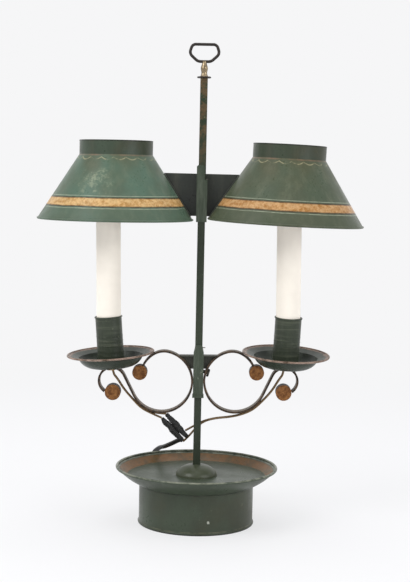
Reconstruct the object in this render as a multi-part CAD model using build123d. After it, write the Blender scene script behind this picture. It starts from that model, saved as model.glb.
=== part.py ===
from build123d import *
import math
import os

# Bouillotte lamp of painted sheet iron: a drum base with a flared tray, a square stem, and two
# carriages that slide on it. The lower carriage carries two scroll arms with drip pans and electric
# candles, the upper one a pair of conical shades. Millimetres, +Z up, origin at the middle of the
# base on the surface that the lamp stands on, +Y to the back.

# Stock and fits
SHEET = 0.8
RUNNING_GAP = 0.05  # radial clearance of a screw that turns in its hole
SLIDE_GAP = 0.3  # clearance between the stem and what slides on it
LOOSE_GAP = 0.3  # between pieces that pass through each other without touching
CLEAR_GAP = 0.3  # between curved faces of different bodies

# Base
DRUM_RADIUS = 63.3
DRUM_HEIGHT = 43.8
DRUM_BEAD = 1.5
HEM_WIDTH = 5.0
PLATE_RECESS = 6.0
BALLAST_HEIGHT = 20.0
BALLAST_BORE = 12.0
TRAY_RIM_RADIUS = 88.2
TRAY_RIM_Z = 62.2
TRAY_BOWL = 1.6  # how far the flare bulges below a straight cone
TRAY_RIM_WIRE = 1.5
DISH_FLOOR_Z = 52.0  # underside of the floor that closes the flare
DOME_RADIUS = 22.8
DOME_HEIGHT = 12.8

# Stem and finial
STEM_WIDTH = 8.0
STEM_TOP = 490.0
STEM_EDGE = 0.8
TENON_RADIUS = 3.5
TENON_END = 0.9
NUT_WIDTH = 11.0
NUT_HEIGHT = 3.6
WASHER_RADIUS = 9.0
WASHER_THICK = 1.0
FINIAL_DISC_RADIUS = 7.6
FINIAL_DISC_THICK = 1.6
FINIAL_DISC_EDGE = 0.5
BALUSTER_HEIGHT = 17.0
BALUSTER_SIDE = ((4.8, 0.0), (3.2, 0.28), (3.9, 0.52), (2.4, 0.88), (2.7, 1.0))  # radius, share of its height
RING_WIDE = 15.3
RING_TALL = 9.2
RING_CORNERS = ((13.2, 9.2, 5.0), (16.4, -0.8, 6.0), (7.2, -9.2, 8.0))  # x, height and radius, right half
RING_WIRE = 1.6

# Shade carriage
SHADE_SLEEVE_WIDTH = 11.6
SHADE_SLEEVE_BOTTOM = 334.0
SHADE_SLEEVE_TOP = 380.0
TONGUE_TOP = 396.0
TONGUE_WIDTH = 8.6
TONGUE_OFFSET = -1.6
SHADE_PLATE_BOTTOM = 340.2
SHADE_PLATE_TOP = 385.6
SHADE_PLATE_HEM = 1.0
FLANGE_DEPTH = 13.0
SHADE_SCREW_Z = 357.0
SHADE_TILT_Z = 365.0
SHADES_TILT = 0.3  # the pair hangs this far out of square, degrees, right side low
SHADE_SPREAD = 94.4
SHADE_RIM_Z = 335.4
SHADE_RIM_RADIUS = 84.8
SHADE_NECK_Z = 405.0
SHADE_NECK_RADIUS = 40.0
SHADE_RIM_WIRE = 1.2
SHADE_LEANS = {-1: -0.3, 1: 1.8}  # how far each shade leans more, left and right
COLLAR_HEIGHT = 14.8
COLLAR_BEAD = 0.7

# Arm carriage
ARM_LEVEL = 158.0  # height of the centres of both rings
ARMS_TILT = -0.9  # the arms are brazed this far out of square, degrees, right side high
ARM_SLEEVE_WIDTH = 11.2
ARM_SLEEVE_BOTTOM = 140.2
ARM_SLEEVE_TOP = 198.7
SLEEVE_SHOULDER = 12.5  # length of the tapered top of the arm sleeve
SLEEVE_TOP_WIDTH = 7.2
SLEEVE_LIP = 0.7
SLEEVE_LIP_HEIGHT = 3.0
SPRING_THICK = 0.35
SPRING_PLAY = 0.15
SPRING_WIDTH = 6.0
SPRING_HOOK = 1.6
STRIP_THICK = 2.2
STRIP_DEPTH = 12.0
RING_RADIUS = 34.0
HOOK_START = 105.0  # angle on the ring where its upper end turns in under the pan
HOOK_RADIUS = 22.0
HOOK_EASE = 60.0  # angle where the hook opens out again
HOOK_TAIL_RADIUS = 30.0
HOOK_END = 20.0
LEAVE_ANGLE = 64.0  # slope at which the strip leaves the ring
STRAIGHT_RUN = 24.6
CURL_RADIUS = 14.5
CURL_END = -55.0
ROUNDEL_DEPTH = 15.0
INNER_ROUNDEL_RADIUS = 8.2
INNER_ROUNDEL_X = 23.7
INNER_ROUNDEL_Z = 10.2
OUTER_ROUNDEL_RADIUS = 8.7
OUTER_ROUNDEL_DROP = 12.6
OUTER_ROUNDEL_SHIFT = -0.8
ROUNDEL_DISH = 0.6
ROUNDEL_FACE = 0.8  # radius of the dished face, as a share of the button's
GUSSET_THICK = 1.6
GUSSET_LEVEL = 29.4  # top of the gusset's flange above the ring centres
GUSSET_FLANGE_DEPTH = 9.0
GUSSET_FLANGE_THICK = 1.6
GUSSET_FOOT = 14.0

# Clamp screws
SCREW_RADIUS = 2.0
ARM_SCREW_ANGLE = 17.5  # above the ring centre, seen from it
ARM_SCREW_HEAD_RADIUS = 4.4
ARM_SCREW_HEAD_THICK = 2.4
KNOB_RADIUS = 7.5
KNOB_THICK = 5.0
KNOB_FLUTES = 12
SCREW_TIP_GAP = 0.1

# Pans, cups and candles
PAN_LEAN = 3.2
PAN_TIPS = {-1: 1.8, 1: 4.0}  # how far each pan and candle is tipped to the front, left and right
PAN_RIM_RADIUS = 47.3
PAN_DEPTH = 14.6
PAN_SHELF_RADIUS = 35.5
PAN_SHELF_DROP = 3.6
PAN_FLOOR_RADIUS = 24.0
PAN_BELLY_OUT = 0.62  # middle of the rounded wall, as shares of its run and rise
PAN_BELLY_UP = 0.38
PAN_RIM_WIRE = 1.1
CUP_RADIUS = 14.5
CUP_WALL = 0.5
CUP_HEIGHT = 56.0
CUP_LIP = 0.9
CUP_BEADS = (24.0, 29.0, 34.0)
CUP_BEAD_SIZE = 0.45
NIPPLE_RADIUS = 4.0
NIPPLE_BORE = 3.0
NIPPLE_LIP = 5.2
NIPPLE_LIP_THICK = 0.9
NIPPLE_DROP = 1.45  # below the strip, clear of the curl's slope
NIPPLE_SOLDER = 0.3  # the lip's overlap with the tube's end
LOCKNUT_WIDTH = 12.0
LOCKNUT_HEIGHT = 3.0
CANDLE_RADIUS = 13.4
CANDLE_WALL = 0.9
CANDLE_INSERT = 17.0
CANDLE_TOP = 342.0
SEAT_THICK = 1.6
BRACKET_WIDTH = 8.0
BRACKET_THICK = 1.2
SOCKET_HEIGHT = 32.0
SOCKET_WALL = 2.6
BULB_CAP_RADIUS = 6.9
BULB_CAP_HEIGHT = 24.0
BULB_RADIUS = 17.5
BULB_HEIGHT = 62.0
BULB_NECK = 7.4
BULB_SWELL = ((0.93, 0.2), (1.0, 0.36), (0.62, 0.76))  # shares of its radius and height

# Leads, splices and flex
CORE_RADIUS = 1.15
CORE_PITCH = 2.4
LEAD_DROP = 4.0  # straight run of a lead below the strip
SPLICE_RADIUS = 3.1
SPLICE_END_RADIUS = 1.7
SPLICE_LENGTH = 34.0
CORE_END_GAP = 0.9  # a core's end meets its splice at a slant
FLEX_RADIUS = 2.8
COIL_TURN_RADIUS = 31.0
COIL_COLUMNS = 2
COIL_ROWS = 4
COIL_CENTRE = (14.0, 106.0)
COIL_EDGE = 2.5
TIE_THICK = 0.8
TIE_WIDTH = 8.0
SWITCH_LENGTH = 58.0
SWITCH_WIDTH = 24.0
SWITCH_HEIGHT = 19.0
SWITCH_CENTRE = (-4.0, 166.0)
SWITCH_ENTRY_Z = 9.5
SWITCH_CORNER = 10.0
SWITCH_EDGE = 3.8
ROCKER_LENGTH = 15.0
ROCKER_WIDTH = 10.0
ROCKER_RISE = 1.6
ROCKER_GAP = 0.5  # at the rocker's ends, which swing
ROCKER_PIN_RADIUS = 1.2
ROCKER_PIN_DROP = 5.32  # below the top of the case
ROCKER_TAPER = 0.75  # the rocker's foot, as a share of its top
PLUG_LENGTH = 36.0
PLUG_WIDTH = 30.0
PLUG_THICK = 13.0
PLUG_NECK = 13.6
PLUG_CORNER = 3.0
PLUG_EDGE = 2.0
PLUG_OFFSET = (10.0, 12.0)  # from the middle of the coil
PIN_RADIUS = 2.0
PIN_LENGTH = 19.0
PIN_TIP = 1.2
PIN_PITCH = 18.6

STEM_HALF = STEM_WIDTH / 2
TRAY_FLOOR_Z = DISH_FLOOR_Z + SHEET
ARM_SLEEVE_HALF = ARM_SLEEVE_WIDTH / 2
SHADE_SLEEVE_HALF = SHADE_SLEEVE_WIDTH / 2
BORE_HALF = STEM_HALF + SLIDE_GAP
SPRING_SIDE = STEM_HALF + SPRING_PLAY + SPRING_THICK + SPRING_PLAY
RING_X = ARM_SLEEVE_HALF + STRIP_THICK / 2 + RING_RADIUS


def arc(centre, radius, start, end):
    """The arc of a circle from one angle to another, in (x, height)."""
    ends = [on_circle(*centre, radius, angle) for angle in (start, (start + end) / 2, end)]
    return ThreePointArc(*ends)


def on_circle(x, y, radius, degrees):
    return (x + radius * math.cos(math.radians(degrees)), y + radius * math.sin(math.radians(degrees)))


def upright(sketch):
    """Stand a sketch drawn in (x, height) up in the XZ plane."""
    return Plane.XZ * sketch


def spun(sketch):
    """Revolve a sketch drawn in (radius, height) round the Z axis."""
    return revolve(upright(sketch), Axis.Z)


def spun_outline(*corners):
    return spun(make_face(Polyline(*corners, close=True)))


def span(inner, outer, low, high):
    """A rectangle of a (radius, height) sketch."""
    return Pos((inner + outer) / 2, (low + high) / 2) * Rectangle(outer - inner, high - low)


def slab(sketch, depth):
    """A sketch drawn in (x, height), as thick as depth and centred on the XZ plane."""
    return extrude(upright(sketch), depth / 2, both=True)


def tube(outer, inner, low, high):
    ring = Circle(outer) - Circle(inner)
    return Pos(0, 0, low) * extrude(ring, high - low)


def solid_rod(radius, low, high):
    return Pos(0, 0, low) * extrude(Circle(radius), high - low)


def square_tube(half, bore_low, bore_high, bore_half, low, high):
    """A square sleeve, with a bore from bore_low to bore_high in X and bore_half to each side in Y."""
    wall = Rectangle(2 * half, 2 * half)
    bore = Pos((bore_low + bore_high) / 2, 0) * Rectangle(bore_high - bore_low, 2 * bore_half)
    return Pos(0, 0, low) * extrude(wall - bore, high - low)


def tilted(shape, degrees, x=0.0, z=0.0):
    """Turn a shape about the line along Y through (x, z)."""
    return shape.rotate(Axis((x, 0, z), (0, 1, 0)), degrees)


def mirrored(shape):
    return mirror(shape, about=Plane.YZ)


# ---------------------------------------------------------------- base


def base_drum():
    wall = span(DRUM_RADIUS - SHEET, DRUM_RADIUS, 0, DRUM_HEIGHT)
    hem = span(DRUM_RADIUS - HEM_WIDTH, DRUM_RADIUS, 0, SHEET)
    bead = Pos(DRUM_RADIUS - SHEET / 2, DRUM_BEAD) * Circle(DRUM_BEAD)
    inside = span(0, DRUM_RADIUS - SHEET, SHEET, DRUM_HEIGHT)
    return spun(wall + hem + (bead - inside))


def base_plate():
    """A pressed lid that stands on the drum's hem and holds the ballast off the table."""
    radius = DRUM_RADIUS - SHEET - LOOSE_GAP
    skirt = tube(radius, radius - SHEET, SHEET, PLATE_RECESS)
    disc = tube(radius, TENON_RADIUS + LOOSE_GAP, PLATE_RECESS - SHEET, PLATE_RECESS)
    return skirt + disc


def base_ballast():
    radius = DRUM_RADIUS - SHEET - LOOSE_GAP - 3 * SHEET
    block = tube(radius, BALLAST_BORE, PLATE_RECESS, PLATE_RECESS + BALLAST_HEIGHT)
    return chamfer(block.edges().group_by(Axis.Z)[-1], SHEET)


def tray():
    """A bowed flare with a wired rim, a hem that rests on the drum and a raised floor."""
    half = SHEET / 2
    foot = (DRUM_RADIUS - half, DRUM_HEIGHT + half)
    rim = (TRAY_RIM_RADIUS, TRAY_RIM_Z)
    run, rise = rim[0] - foot[0], rim[1] - foot[1]
    bow = TRAY_BOWL / math.hypot(run, rise)
    bowed = ((foot[0] + rim[0]) / 2 + bow * rise, (foot[1] + rim[1]) / 2 - bow * run)
    line = ThreePointArc(foot, bowed, rim)
    beyond = 2 * TRAY_RIM_RADIUS
    outside = make_face(Curve() + [line, Polyline(rim, (beyond, rim[1]), (beyond, foot[1]), foot)])
    hem = span(DRUM_RADIUS - HEM_WIDTH, DRUM_RADIUS - half, DRUM_HEIGHT, DRUM_HEIGHT + SHEET)
    floor = span(TENON_RADIUS + LOOSE_GAP, TRAY_RIM_RADIUS, DISH_FLOOR_Z, TRAY_FLOOR_Z) - outside
    return spun(trace(line, SHEET) + hem + floor + Pos(*rim) * Circle(TRAY_RIM_WIRE))


def stem_dome():
    """A low pressed dome on the tray's floor, with a square hole for the stem."""
    wall = Ellipse(DOME_RADIUS, DOME_HEIGHT) - Ellipse(DOME_RADIUS - SHEET, DOME_HEIGHT - SHEET)
    shell = spun(Pos(0, TRAY_FLOOR_Z) * (wall & span(0, DOME_RADIUS, 0, DOME_HEIGHT)))
    hole = Rectangle(STEM_WIDTH + 2 * SLIDE_GAP, STEM_WIDTH + 2 * SLIDE_GAP)
    return shell - extrude(hole, TRAY_FLOOR_Z + 2 * DOME_HEIGHT)


# ---------------------------------------------------------------- stem and finial


def stem():
    """A square rod that stands on the tray's floor, its round tenon going down through the base."""
    rod = Pos(0, 0, TRAY_FLOOR_Z) * extrude(Rectangle(STEM_WIDTH, STEM_WIDTH), STEM_TOP - TRAY_FLOOR_Z)
    rod = chamfer(rod.edges().filter_by(Axis.Z), STEM_EDGE)
    return rod + solid_rod(TENON_RADIUS, TENON_END, TRAY_FLOOR_Z)


def stem_washer():
    top = PLATE_RECESS - SHEET
    return tube(WASHER_RADIUS, TENON_RADIUS + LOOSE_GAP, top - WASHER_THICK, top)


def stem_nut():
    top = PLATE_RECESS - SHEET - WASHER_THICK
    nut = RegularPolygon(NUT_WIDTH / 2, 6, major_radius=False) - Circle(TENON_RADIUS)
    return Pos(0, 0, top - NUT_HEIGHT) * extrude(nut, NUT_HEIGHT)


def finial_disc():
    disc = Pos(0, 0, STEM_TOP) * extrude(Circle(FINIAL_DISC_RADIUS), FINIAL_DISC_THICK)
    return fillet(disc.edges(), FINIAL_DISC_EDGE)


def finial_baluster():
    """A turned baluster: spread foot, waist, bulb and a neck under the ring."""
    foot = STEM_TOP + FINIAL_DISC_THICK
    top = foot + BALUSTER_HEIGHT
    side = Spline(*[(radius, foot + share * BALUSTER_HEIGHT) for radius, share in BALUSTER_SIDE])
    outline = Polyline(side @ 1, (0, top), (0, foot), side @ 0)
    body = spun(make_face(Curve() + [side, outline]))
    return body - finial_ring()


def finial_ring():
    centre_z = STEM_TOP + FINIAL_DISC_THICK + BALUSTER_HEIGHT + RING_TALL - RING_WIRE / 2
    right = [(x, z) for x, z, _ in RING_CORNERS]
    left = [(-x, z) for x, z in reversed(right)]
    rounds = [radius for _, _, radius in RING_CORNERS]
    path = upright(FilletPolyline(*right, *left, radius=rounds + rounds[::-1], close=True)).wire()
    section = Plane(origin=path @ 0, z_dir=path % 0) * Circle(RING_WIRE)
    return Pos(0, 0, centre_z) * sweep(section, path)


# ---------------------------------------------------------------- clamp springs and screws


def clamp_spring(low, high, hook_out):
    """A flat steel leaf between the stem and the right wall of a sleeve, hooked over its top edge."""
    near = STEM_HALF + SPRING_PLAY
    leaf = Polyline((near + SPRING_THICK / 2, low), (near + SPRING_THICK / 2, high), (hook_out, high))
    return slab(trace(leaf, SPRING_THICK), SPRING_WIDTH)


def arm_screw_axis():
    """The arm screw's point on the right ring and its direction away from the stem, before the tilt."""
    x, z = on_circle(RING_X, ARM_LEVEL, RING_RADIUS, 180 - ARM_SCREW_ANGLE)
    slope = math.radians(ARM_SCREW_ANGLE)
    return (x, z), (math.cos(slope), -math.sin(slope))


def arm_screw_place():
    (x, z), (along, down) = arm_screw_axis()
    return Plane(origin=(x, 0, z), z_dir=(along, 0, down), x_dir=(0, 1, 0))


def arm_screw():
    """A slotted round-head screw through the ring and the sleeve wall, against the spring."""
    seat = STRIP_THICK / 2 + ARM_SCREW_HEAD_RADIUS**2 / (2 * (RING_RADIUS - STRIP_THICK)) + CLEAR_GAP
    place = tilted_plane(arm_screw_place(), ARMS_TILT)
    reach = arm_screw_reach()
    shank = Pos(0, 0, -reach) * extrude(Circle(SCREW_RADIUS), reach + seat)
    head = Pos(0, 0, seat) * extrude(Circle(ARM_SCREW_HEAD_RADIUS), ARM_SCREW_HEAD_THICK)
    head = fillet(head.edges().group_by(Axis.Z)[-1], ARM_SCREW_HEAD_THICK / 2.5)
    slot = Pos(0, 0, seat + ARM_SCREW_HEAD_THICK) * Box(2 * ARM_SCREW_HEAD_RADIUS, SHEET, 2 * SHEET)
    return place * (shank + head - slot)


def tilted_plane(plane, degrees):
    turn = Pos(0, 0, ARM_LEVEL) * Rot(0, degrees, 0) * Pos(0, 0, -ARM_LEVEL)
    return turn * plane.location


def arm_screw_reach():
    """How far the arm screw's shank goes in from the ring, to just short of the spring."""
    (x, _), (along, _) = arm_screw_axis()
    spring_face = STEM_HALF + SPRING_PLAY + SPRING_THICK
    edge = SCREW_RADIUS * math.sin(math.radians(ARM_SCREW_ANGLE - ARMS_TILT))
    return (x - spring_face - edge - SCREW_TIP_GAP) / along


def knob_profile():
    knob = Circle(KNOB_RADIUS)
    for index in range(KNOB_FLUTES):
        knob -= Rot(0, 0, 360 * index / KNOB_FLUTES) * Pos(KNOB_RADIUS + SHEET / 2, 0) * Circle(SHEET * 1.2)
    return knob


def shade_screw():
    """A fluted thumb screw behind the shade plate, straight in to the back of the stem."""
    tip = STEM_HALF + SCREW_TIP_GAP
    seat = SHADE_SLEEVE_HALF + SHEET + CLEAR_GAP
    place = Plane(origin=(0, tip, SHADE_SCREW_Z), z_dir=(0, 1, 0))
    shank = extrude(Circle(SCREW_RADIUS), seat - tip)
    knob = Pos(0, 0, seat - tip) * extrude(knob_profile(), KNOB_THICK)
    return place * (shank + knob)


def shade_screw_hole():
    place = Plane(origin=(0, 0, SHADE_SCREW_Z), z_dir=(0, 1, 0))
    return place * extrude(Circle(SCREW_RADIUS + RUNNING_GAP), 2 * SHADE_SLEEVE_WIDTH)


# ---------------------------------------------------------------- shade carriage


def shade_sleeve():
    sleeve = square_tube(
        SHADE_SLEEVE_HALF, -BORE_HALF, SPRING_SIDE, BORE_HALF, SHADE_SLEEVE_BOTTOM, SHADE_SLEEVE_TOP
    )
    wall = SHADE_SLEEVE_HALF - BORE_HALF
    tongue = Pos(TONGUE_OFFSET, -SHADE_SLEEVE_HALF + wall / 2, SHADE_SLEEVE_TOP) * Box(
        TONGUE_WIDTH, wall, TONGUE_TOP - SHADE_SLEEVE_TOP, align=(Align.CENTER, Align.CENTER, Align.MIN)
    )
    tongue = chamfer(tongue.edges().filter_by(Axis.Y).group_by(Axis.Z)[-1], wall)
    return sleeve + tongue - shade_screw_hole()


def shade_slope():
    return (SHADE_RIM_RADIUS - SHADE_NECK_RADIUS) / (SHADE_NECK_Z - SHADE_RIM_Z)


def cone_solid(grow):
    """The solid cone of one shade, grown outwards by a distance, round the Z axis."""
    slope = shade_slope()
    widen = grow * math.hypot(1, slope)
    low = SHADE_RIM_Z - SHEET
    low_radius = SHADE_RIM_RADIUS + slope * SHEET + widen
    return spun_outline((0, low), (low_radius, low), (SHADE_NECK_RADIUS + widen, SHADE_NECK_Z), (0, SHADE_NECK_Z))


def shade_shell():
    """The cone with its wired rim, open at both ends, round the Z axis."""
    slope = shade_slope()
    thick = SHEET * math.hypot(1, slope)
    rim, neck = SHADE_RIM_RADIUS, SHADE_NECK_RADIUS
    low, high = SHADE_RIM_Z, SHADE_NECK_Z
    side = make_face(Polyline((rim - thick, low), (rim, low), (neck, high), (neck - thick, high), close=True))
    return spun(side + Pos(rim - thick / 2, low) * Circle(SHADE_RIM_WIRE))


def shade_collar():
    """The upright band that stands on the cone's top edge, with a small bead at its mouth."""
    outer = SHADE_NECK_RADIUS
    inner = outer - SHEET * math.hypot(1, shade_slope())
    top = SHADE_NECK_Z + COLLAR_HEIGHT
    return spun(span(inner, outer, SHADE_NECK_Z, top) + Pos((inner + outer) / 2, top) * Circle(COLLAR_BEAD))


def placed_shade(shape, side):
    """Move a piece of a shade from the Z axis to its place on the left (-1) or right (+1)."""
    stood = tilted(Pos(side * SHADE_SPREAD, 0, 0) * shape, SHADE_LEANS[side], side * SHADE_SPREAD, SHADE_NECK_Z)
    return tilted(stood, SHADES_TILT, 0, SHADE_TILT_Z)


def shade_plate():
    """A dark plate brazed to the sleeve's back, cut to both cones, with a folded top edge and side
    flanges that follow the cones."""
    middle = (SHADE_PLATE_BOTTOM + SHADE_PLATE_TOP) / 2
    tall = SHADE_PLATE_TOP - SHADE_PLATE_BOTTOM
    back = SHADE_SLEEVE_HALF + SHEET
    sheet = Pos(0, back - SHEET / 2, middle) * Box(2 * SHADE_SPREAD, SHEET, tall)
    hem = Pos(0, back, SHADE_PLATE_TOP) * Box(2 * SHADE_SPREAD, 2 * SHEET, 2 * SHADE_PLATE_HEM)
    between = Pos(0, back - FLANGE_DEPTH / 2, middle) * Box(2 * SHADE_SPREAD, FLANGE_DEPTH, tall)
    plate = tilted(sheet + hem, SHADES_TILT, 0, SHADE_TILT_Z)
    zone = tilted(between, SHADES_TILT, 0, SHADE_TILT_Z)
    for side in (-1, 1):
        cone = placed_shade(cone_solid(0), side)
        jacket = placed_shade(cone_solid(SHEET), side)
        near_half = Pos(side * SHADE_SPREAD / 2, 0, middle) * Box(SHADE_SPREAD, 2 * SHADE_SPREAD, 2 * tall)
        plate = plate - placed_shade(cone_solid(SHEET / 2), side) + ((jacket - cone) & zone & near_half)
    return plate - shade_screw_hole() - sleeve_bulk(SHADE_SLEEVE_HALF)


# ---------------------------------------------------------------- arm carriage


def sleeve_bulk(half):
    """A square bar as thick as a sleeve, which trims what is brazed to the sleeve's sides."""
    return extrude(Rectangle(2 * half, 2 * half), STEM_TOP)


def arm_sleeve():
    """A square sleeve whose top tapers to two tongues, with a lip round its foot."""
    sleeve = square_tube(ARM_SLEEVE_HALF, -BORE_HALF, SPRING_SIDE, BORE_HALF, ARM_SLEEVE_BOTTOM, ARM_SLEEVE_TOP)
    lip_half = ARM_SLEEVE_HALF + SLEEVE_LIP
    lip_top = ARM_SLEEVE_BOTTOM + SLEEVE_LIP_HEIGHT
    lip = square_tube(lip_half, -ARM_SLEEVE_HALF, ARM_SLEEVE_HALF, ARM_SLEEVE_HALF, ARM_SLEEVE_BOTTOM, lip_top)
    shoulder_z = ARM_SLEEVE_TOP - SLEEVE_SHOULDER
    cut = make_face(
        Polyline(
            (SLEEVE_TOP_WIDTH / 2, ARM_SLEEVE_TOP + SHEET),
            (SLEEVE_TOP_WIDTH / 2, ARM_SLEEVE_TOP),
            (ARM_SLEEVE_HALF + SHEET, shoulder_z),
            (ARM_SLEEVE_HALF + SHEET, ARM_SLEEVE_TOP + SHEET),
            close=True,
        )
    )
    taper = slab(cut, 2 * ARM_SLEEVE_WIDTH)
    hole = tilted_plane(arm_screw_place(), ARMS_TILT) * Pos(0, 0, -RING_RADIUS / 2) * extrude(
        Circle(SCREW_RADIUS + RUNNING_GAP), RING_RADIUS / 2
    )
    reach = Box(RING_X, ARM_SLEEVE_WIDTH, STEM_TOP, align=(Align.MIN, Align.CENTER, Align.MIN))
    return sleeve + lip - taper - mirrored(taper) - (hole & reach)


def curl_centre():
    """Centre of the outer curl, from the ring's end, the straight run and the curl's radius."""
    x, z = on_circle(RING_X, ARM_LEVEL, RING_RADIUS, LEAVE_ANGLE - 90)
    x, z = on_circle(x, z, STRAIGHT_RUN, LEAVE_ANGLE)
    return on_circle(x, z, CURL_RADIUS, LEAVE_ANGLE - 90)


def scroll_path():
    """Centre line of the right scroll: hook under the pan, ring, straight run and outer curl."""
    ring = (RING_X, ARM_LEVEL)
    hook_centre = on_circle(*ring, RING_RADIUS - HOOK_RADIUS, HOOK_START)
    tail_centre = on_circle(*hook_centre, HOOK_RADIUS - HOOK_TAIL_RADIUS, HOOK_EASE)
    curl = curl_centre()
    leave = LEAVE_ANGLE - 90
    return [
        arc(tail_centre, HOOK_TAIL_RADIUS, HOOK_END, HOOK_EASE),
        arc(hook_centre, HOOK_RADIUS, HOOK_EASE, HOOK_START),
        arc(ring, RING_RADIUS, HOOK_START, 360 + leave),
        Line(on_circle(*ring, RING_RADIUS, leave), on_circle(*curl, CURL_RADIUS, LEAVE_ANGLE + 90)),
        arc(curl, CURL_RADIUS, LEAVE_ANGLE + 90, CURL_END),
    ]


def roundel_places():
    curl_x, curl_z = curl_centre()
    return {
        "inner_roundel": (RING_X + INNER_ROUNDEL_X, ARM_LEVEL + INNER_ROUNDEL_Z, INNER_ROUNDEL_RADIUS),
        "outer_roundel": (curl_x + OUTER_ROUNDEL_SHIFT, curl_z - OUTER_ROUNDEL_DROP, OUTER_ROUNDEL_RADIUS),
    }


def roundel(x, z, radius):
    """A turned button with a shallow dish in each face, its axis along Y."""
    half = ROUNDEL_DEPTH / 2
    rim = radius * ROUNDEL_FACE
    side = spun_outline(
        (0, -half + ROUNDEL_DISH),
        (rim, -half),
        (radius, -half + ROUNDEL_DISH),
        (radius, half - ROUNDEL_DISH),
        (rim, half),
        (0, half - ROUNDEL_DISH),
    )
    return Pos(x, 0, z) * Rot(90, 0, 0) * side


def pan_place():
    """Frame of the right pan: its origin is the seat on the curl, its Z axis leans outwards."""
    curl_x, curl_z = curl_centre()
    seat = CURL_RADIUS + STRIP_THICK / 2
    lean = math.radians(PAN_LEAN)
    origin = (curl_x + seat * math.sin(lean), 0, curl_z + seat * math.cos(lean))
    return Plane(origin=origin, z_dir=(math.sin(lean), 0, math.cos(lean)), x_dir=(math.cos(lean), 0, -math.sin(lean)))


def tipped(shape, side):
    """Tip what stands on a pan to the front, about its seat on the strip."""
    return shape.rotate(Axis(pan_place().origin, (1, 0, 0)), PAN_TIPS[side])


def scroll(side):
    strip = slab(trace(scroll_path(), STRIP_THICK), STRIP_DEPTH)
    for x, z, radius in roundel_places().values():
        strip -= slab(Pos(x, z) * Circle(radius), ROUNDEL_DEPTH)
    hole = Pos(0, 0, -CURL_RADIUS) * extrude(Circle(NIPPLE_RADIUS), CURL_RADIUS)
    above = Box(2 * CURL_RADIUS, 2 * STRIP_DEPTH, CURL_RADIUS, align=(Align.CENTER, Align.CENTER, Align.MIN))
    return strip - tipped(pan_place() * hole, side) - tipped(pan_place() * above, side)


def ring_screw_hole():
    return arm_screw_place() * Pos(0, 0, -STRIP_THICK) * extrude(Circle(SCREW_RADIUS + RUNNING_GAP), 2 * STRIP_THICK)


def gusset():
    """A web between sleeve and ring, with a flange along its top."""
    top = ARM_LEVEL + GUSSET_LEVEL
    foot = ARM_LEVEL + GUSSET_FOOT
    body = slab(span(STEM_HALF, RING_X, foot, top), GUSSET_THICK)
    body += slab(span(STEM_HALF, RING_X, top - GUSSET_FLANGE_THICK, top), GUSSET_FLANGE_DEPTH)
    return body - slab(Pos(RING_X, ARM_LEVEL) * Circle(RING_RADIUS + STRIP_THICK / 2), 2 * STRIP_DEPTH)


# ---------------------------------------------------------------- pans, cups and candles


def pan():
    """A wired rim, a sloping shelf, a rounded wall and a flat floor, seated at Z = 0."""
    half = SHEET / 2
    floor_end = (PAN_FLOOR_RADIUS, half)
    shelf = (PAN_SHELF_RADIUS, PAN_DEPTH - PAN_SHELF_DROP)
    belly = (floor_end[0] + (shelf[0] - floor_end[0]) * PAN_BELLY_OUT,
             floor_end[1] + (shelf[1] - floor_end[1]) * PAN_BELLY_UP)
    rim = (PAN_RIM_RADIUS, PAN_DEPTH)
    path = [Line((NIPPLE_RADIUS, half), floor_end), ThreePointArc(floor_end, belly, shelf), Line(shelf, rim)]
    return spun(trace(path, SHEET) + Pos(*rim) * Circle(PAN_RIM_WIRE))


def cup():
    """A candle cup soldered to the pan's floor, with pressed beads and a rolled lip."""
    inner = CUP_RADIUS - CUP_WALL
    side = span(inner, CUP_RADIUS, SHEET, CUP_HEIGHT) + Pos(CUP_RADIUS, CUP_HEIGHT - CUP_LIP) * Circle(CUP_LIP)
    for level in CUP_BEADS:
        side += Pos(CUP_RADIUS - CUP_BEAD_SIZE / 2, level) * Circle(CUP_BEAD_SIZE)
    return spun(side - span(0, inner, 0, 2 * CUP_HEIGHT))


def nipple():
    """A threaded tube through strip and pan, flared under the strip and ending at the socket seat."""
    low = -STRIP_THICK - NIPPLE_DROP
    body = tube(NIPPLE_RADIUS, NIPPLE_BORE, low, seat_level())
    lip = tube(NIPPLE_LIP, NIPPLE_BORE, low - NIPPLE_SOLDER, low + NIPPLE_LIP_THICK)
    return body + lip


def seat_level():
    """Height of the candle seat's underside above the pan's seat, along the leaning axis."""
    return CUP_HEIGHT - CANDLE_INSERT - SEAT_THICK


def locknut():
    nut = RegularPolygon(LOCKNUT_WIDTH / 2, 6, major_radius=False) - Circle(NIPPLE_RADIUS)
    return Pos(0, 0, SHEET) * extrude(nut, LOCKNUT_HEIGHT)


def candle_axis():
    """Where the upright candle stands: X of its axis and Z of its foot."""
    inside = pan_place() * Pos(0, 0, CUP_HEIGHT - CANDLE_INSERT / 2)
    foot = pan_place() * Pos(0, 0, CUP_HEIGHT - CANDLE_INSERT)
    rise = CANDLE_RADIUS * math.sin(math.radians(PAN_LEAN))
    return inside.position.X, foot.position.Z + rise


def candle_sleeve():
    x, foot = candle_axis()
    return Pos(x, 0, 0) * tube(CANDLE_RADIUS, CANDLE_RADIUS - CANDLE_WALL, foot, CANDLE_TOP)


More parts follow.
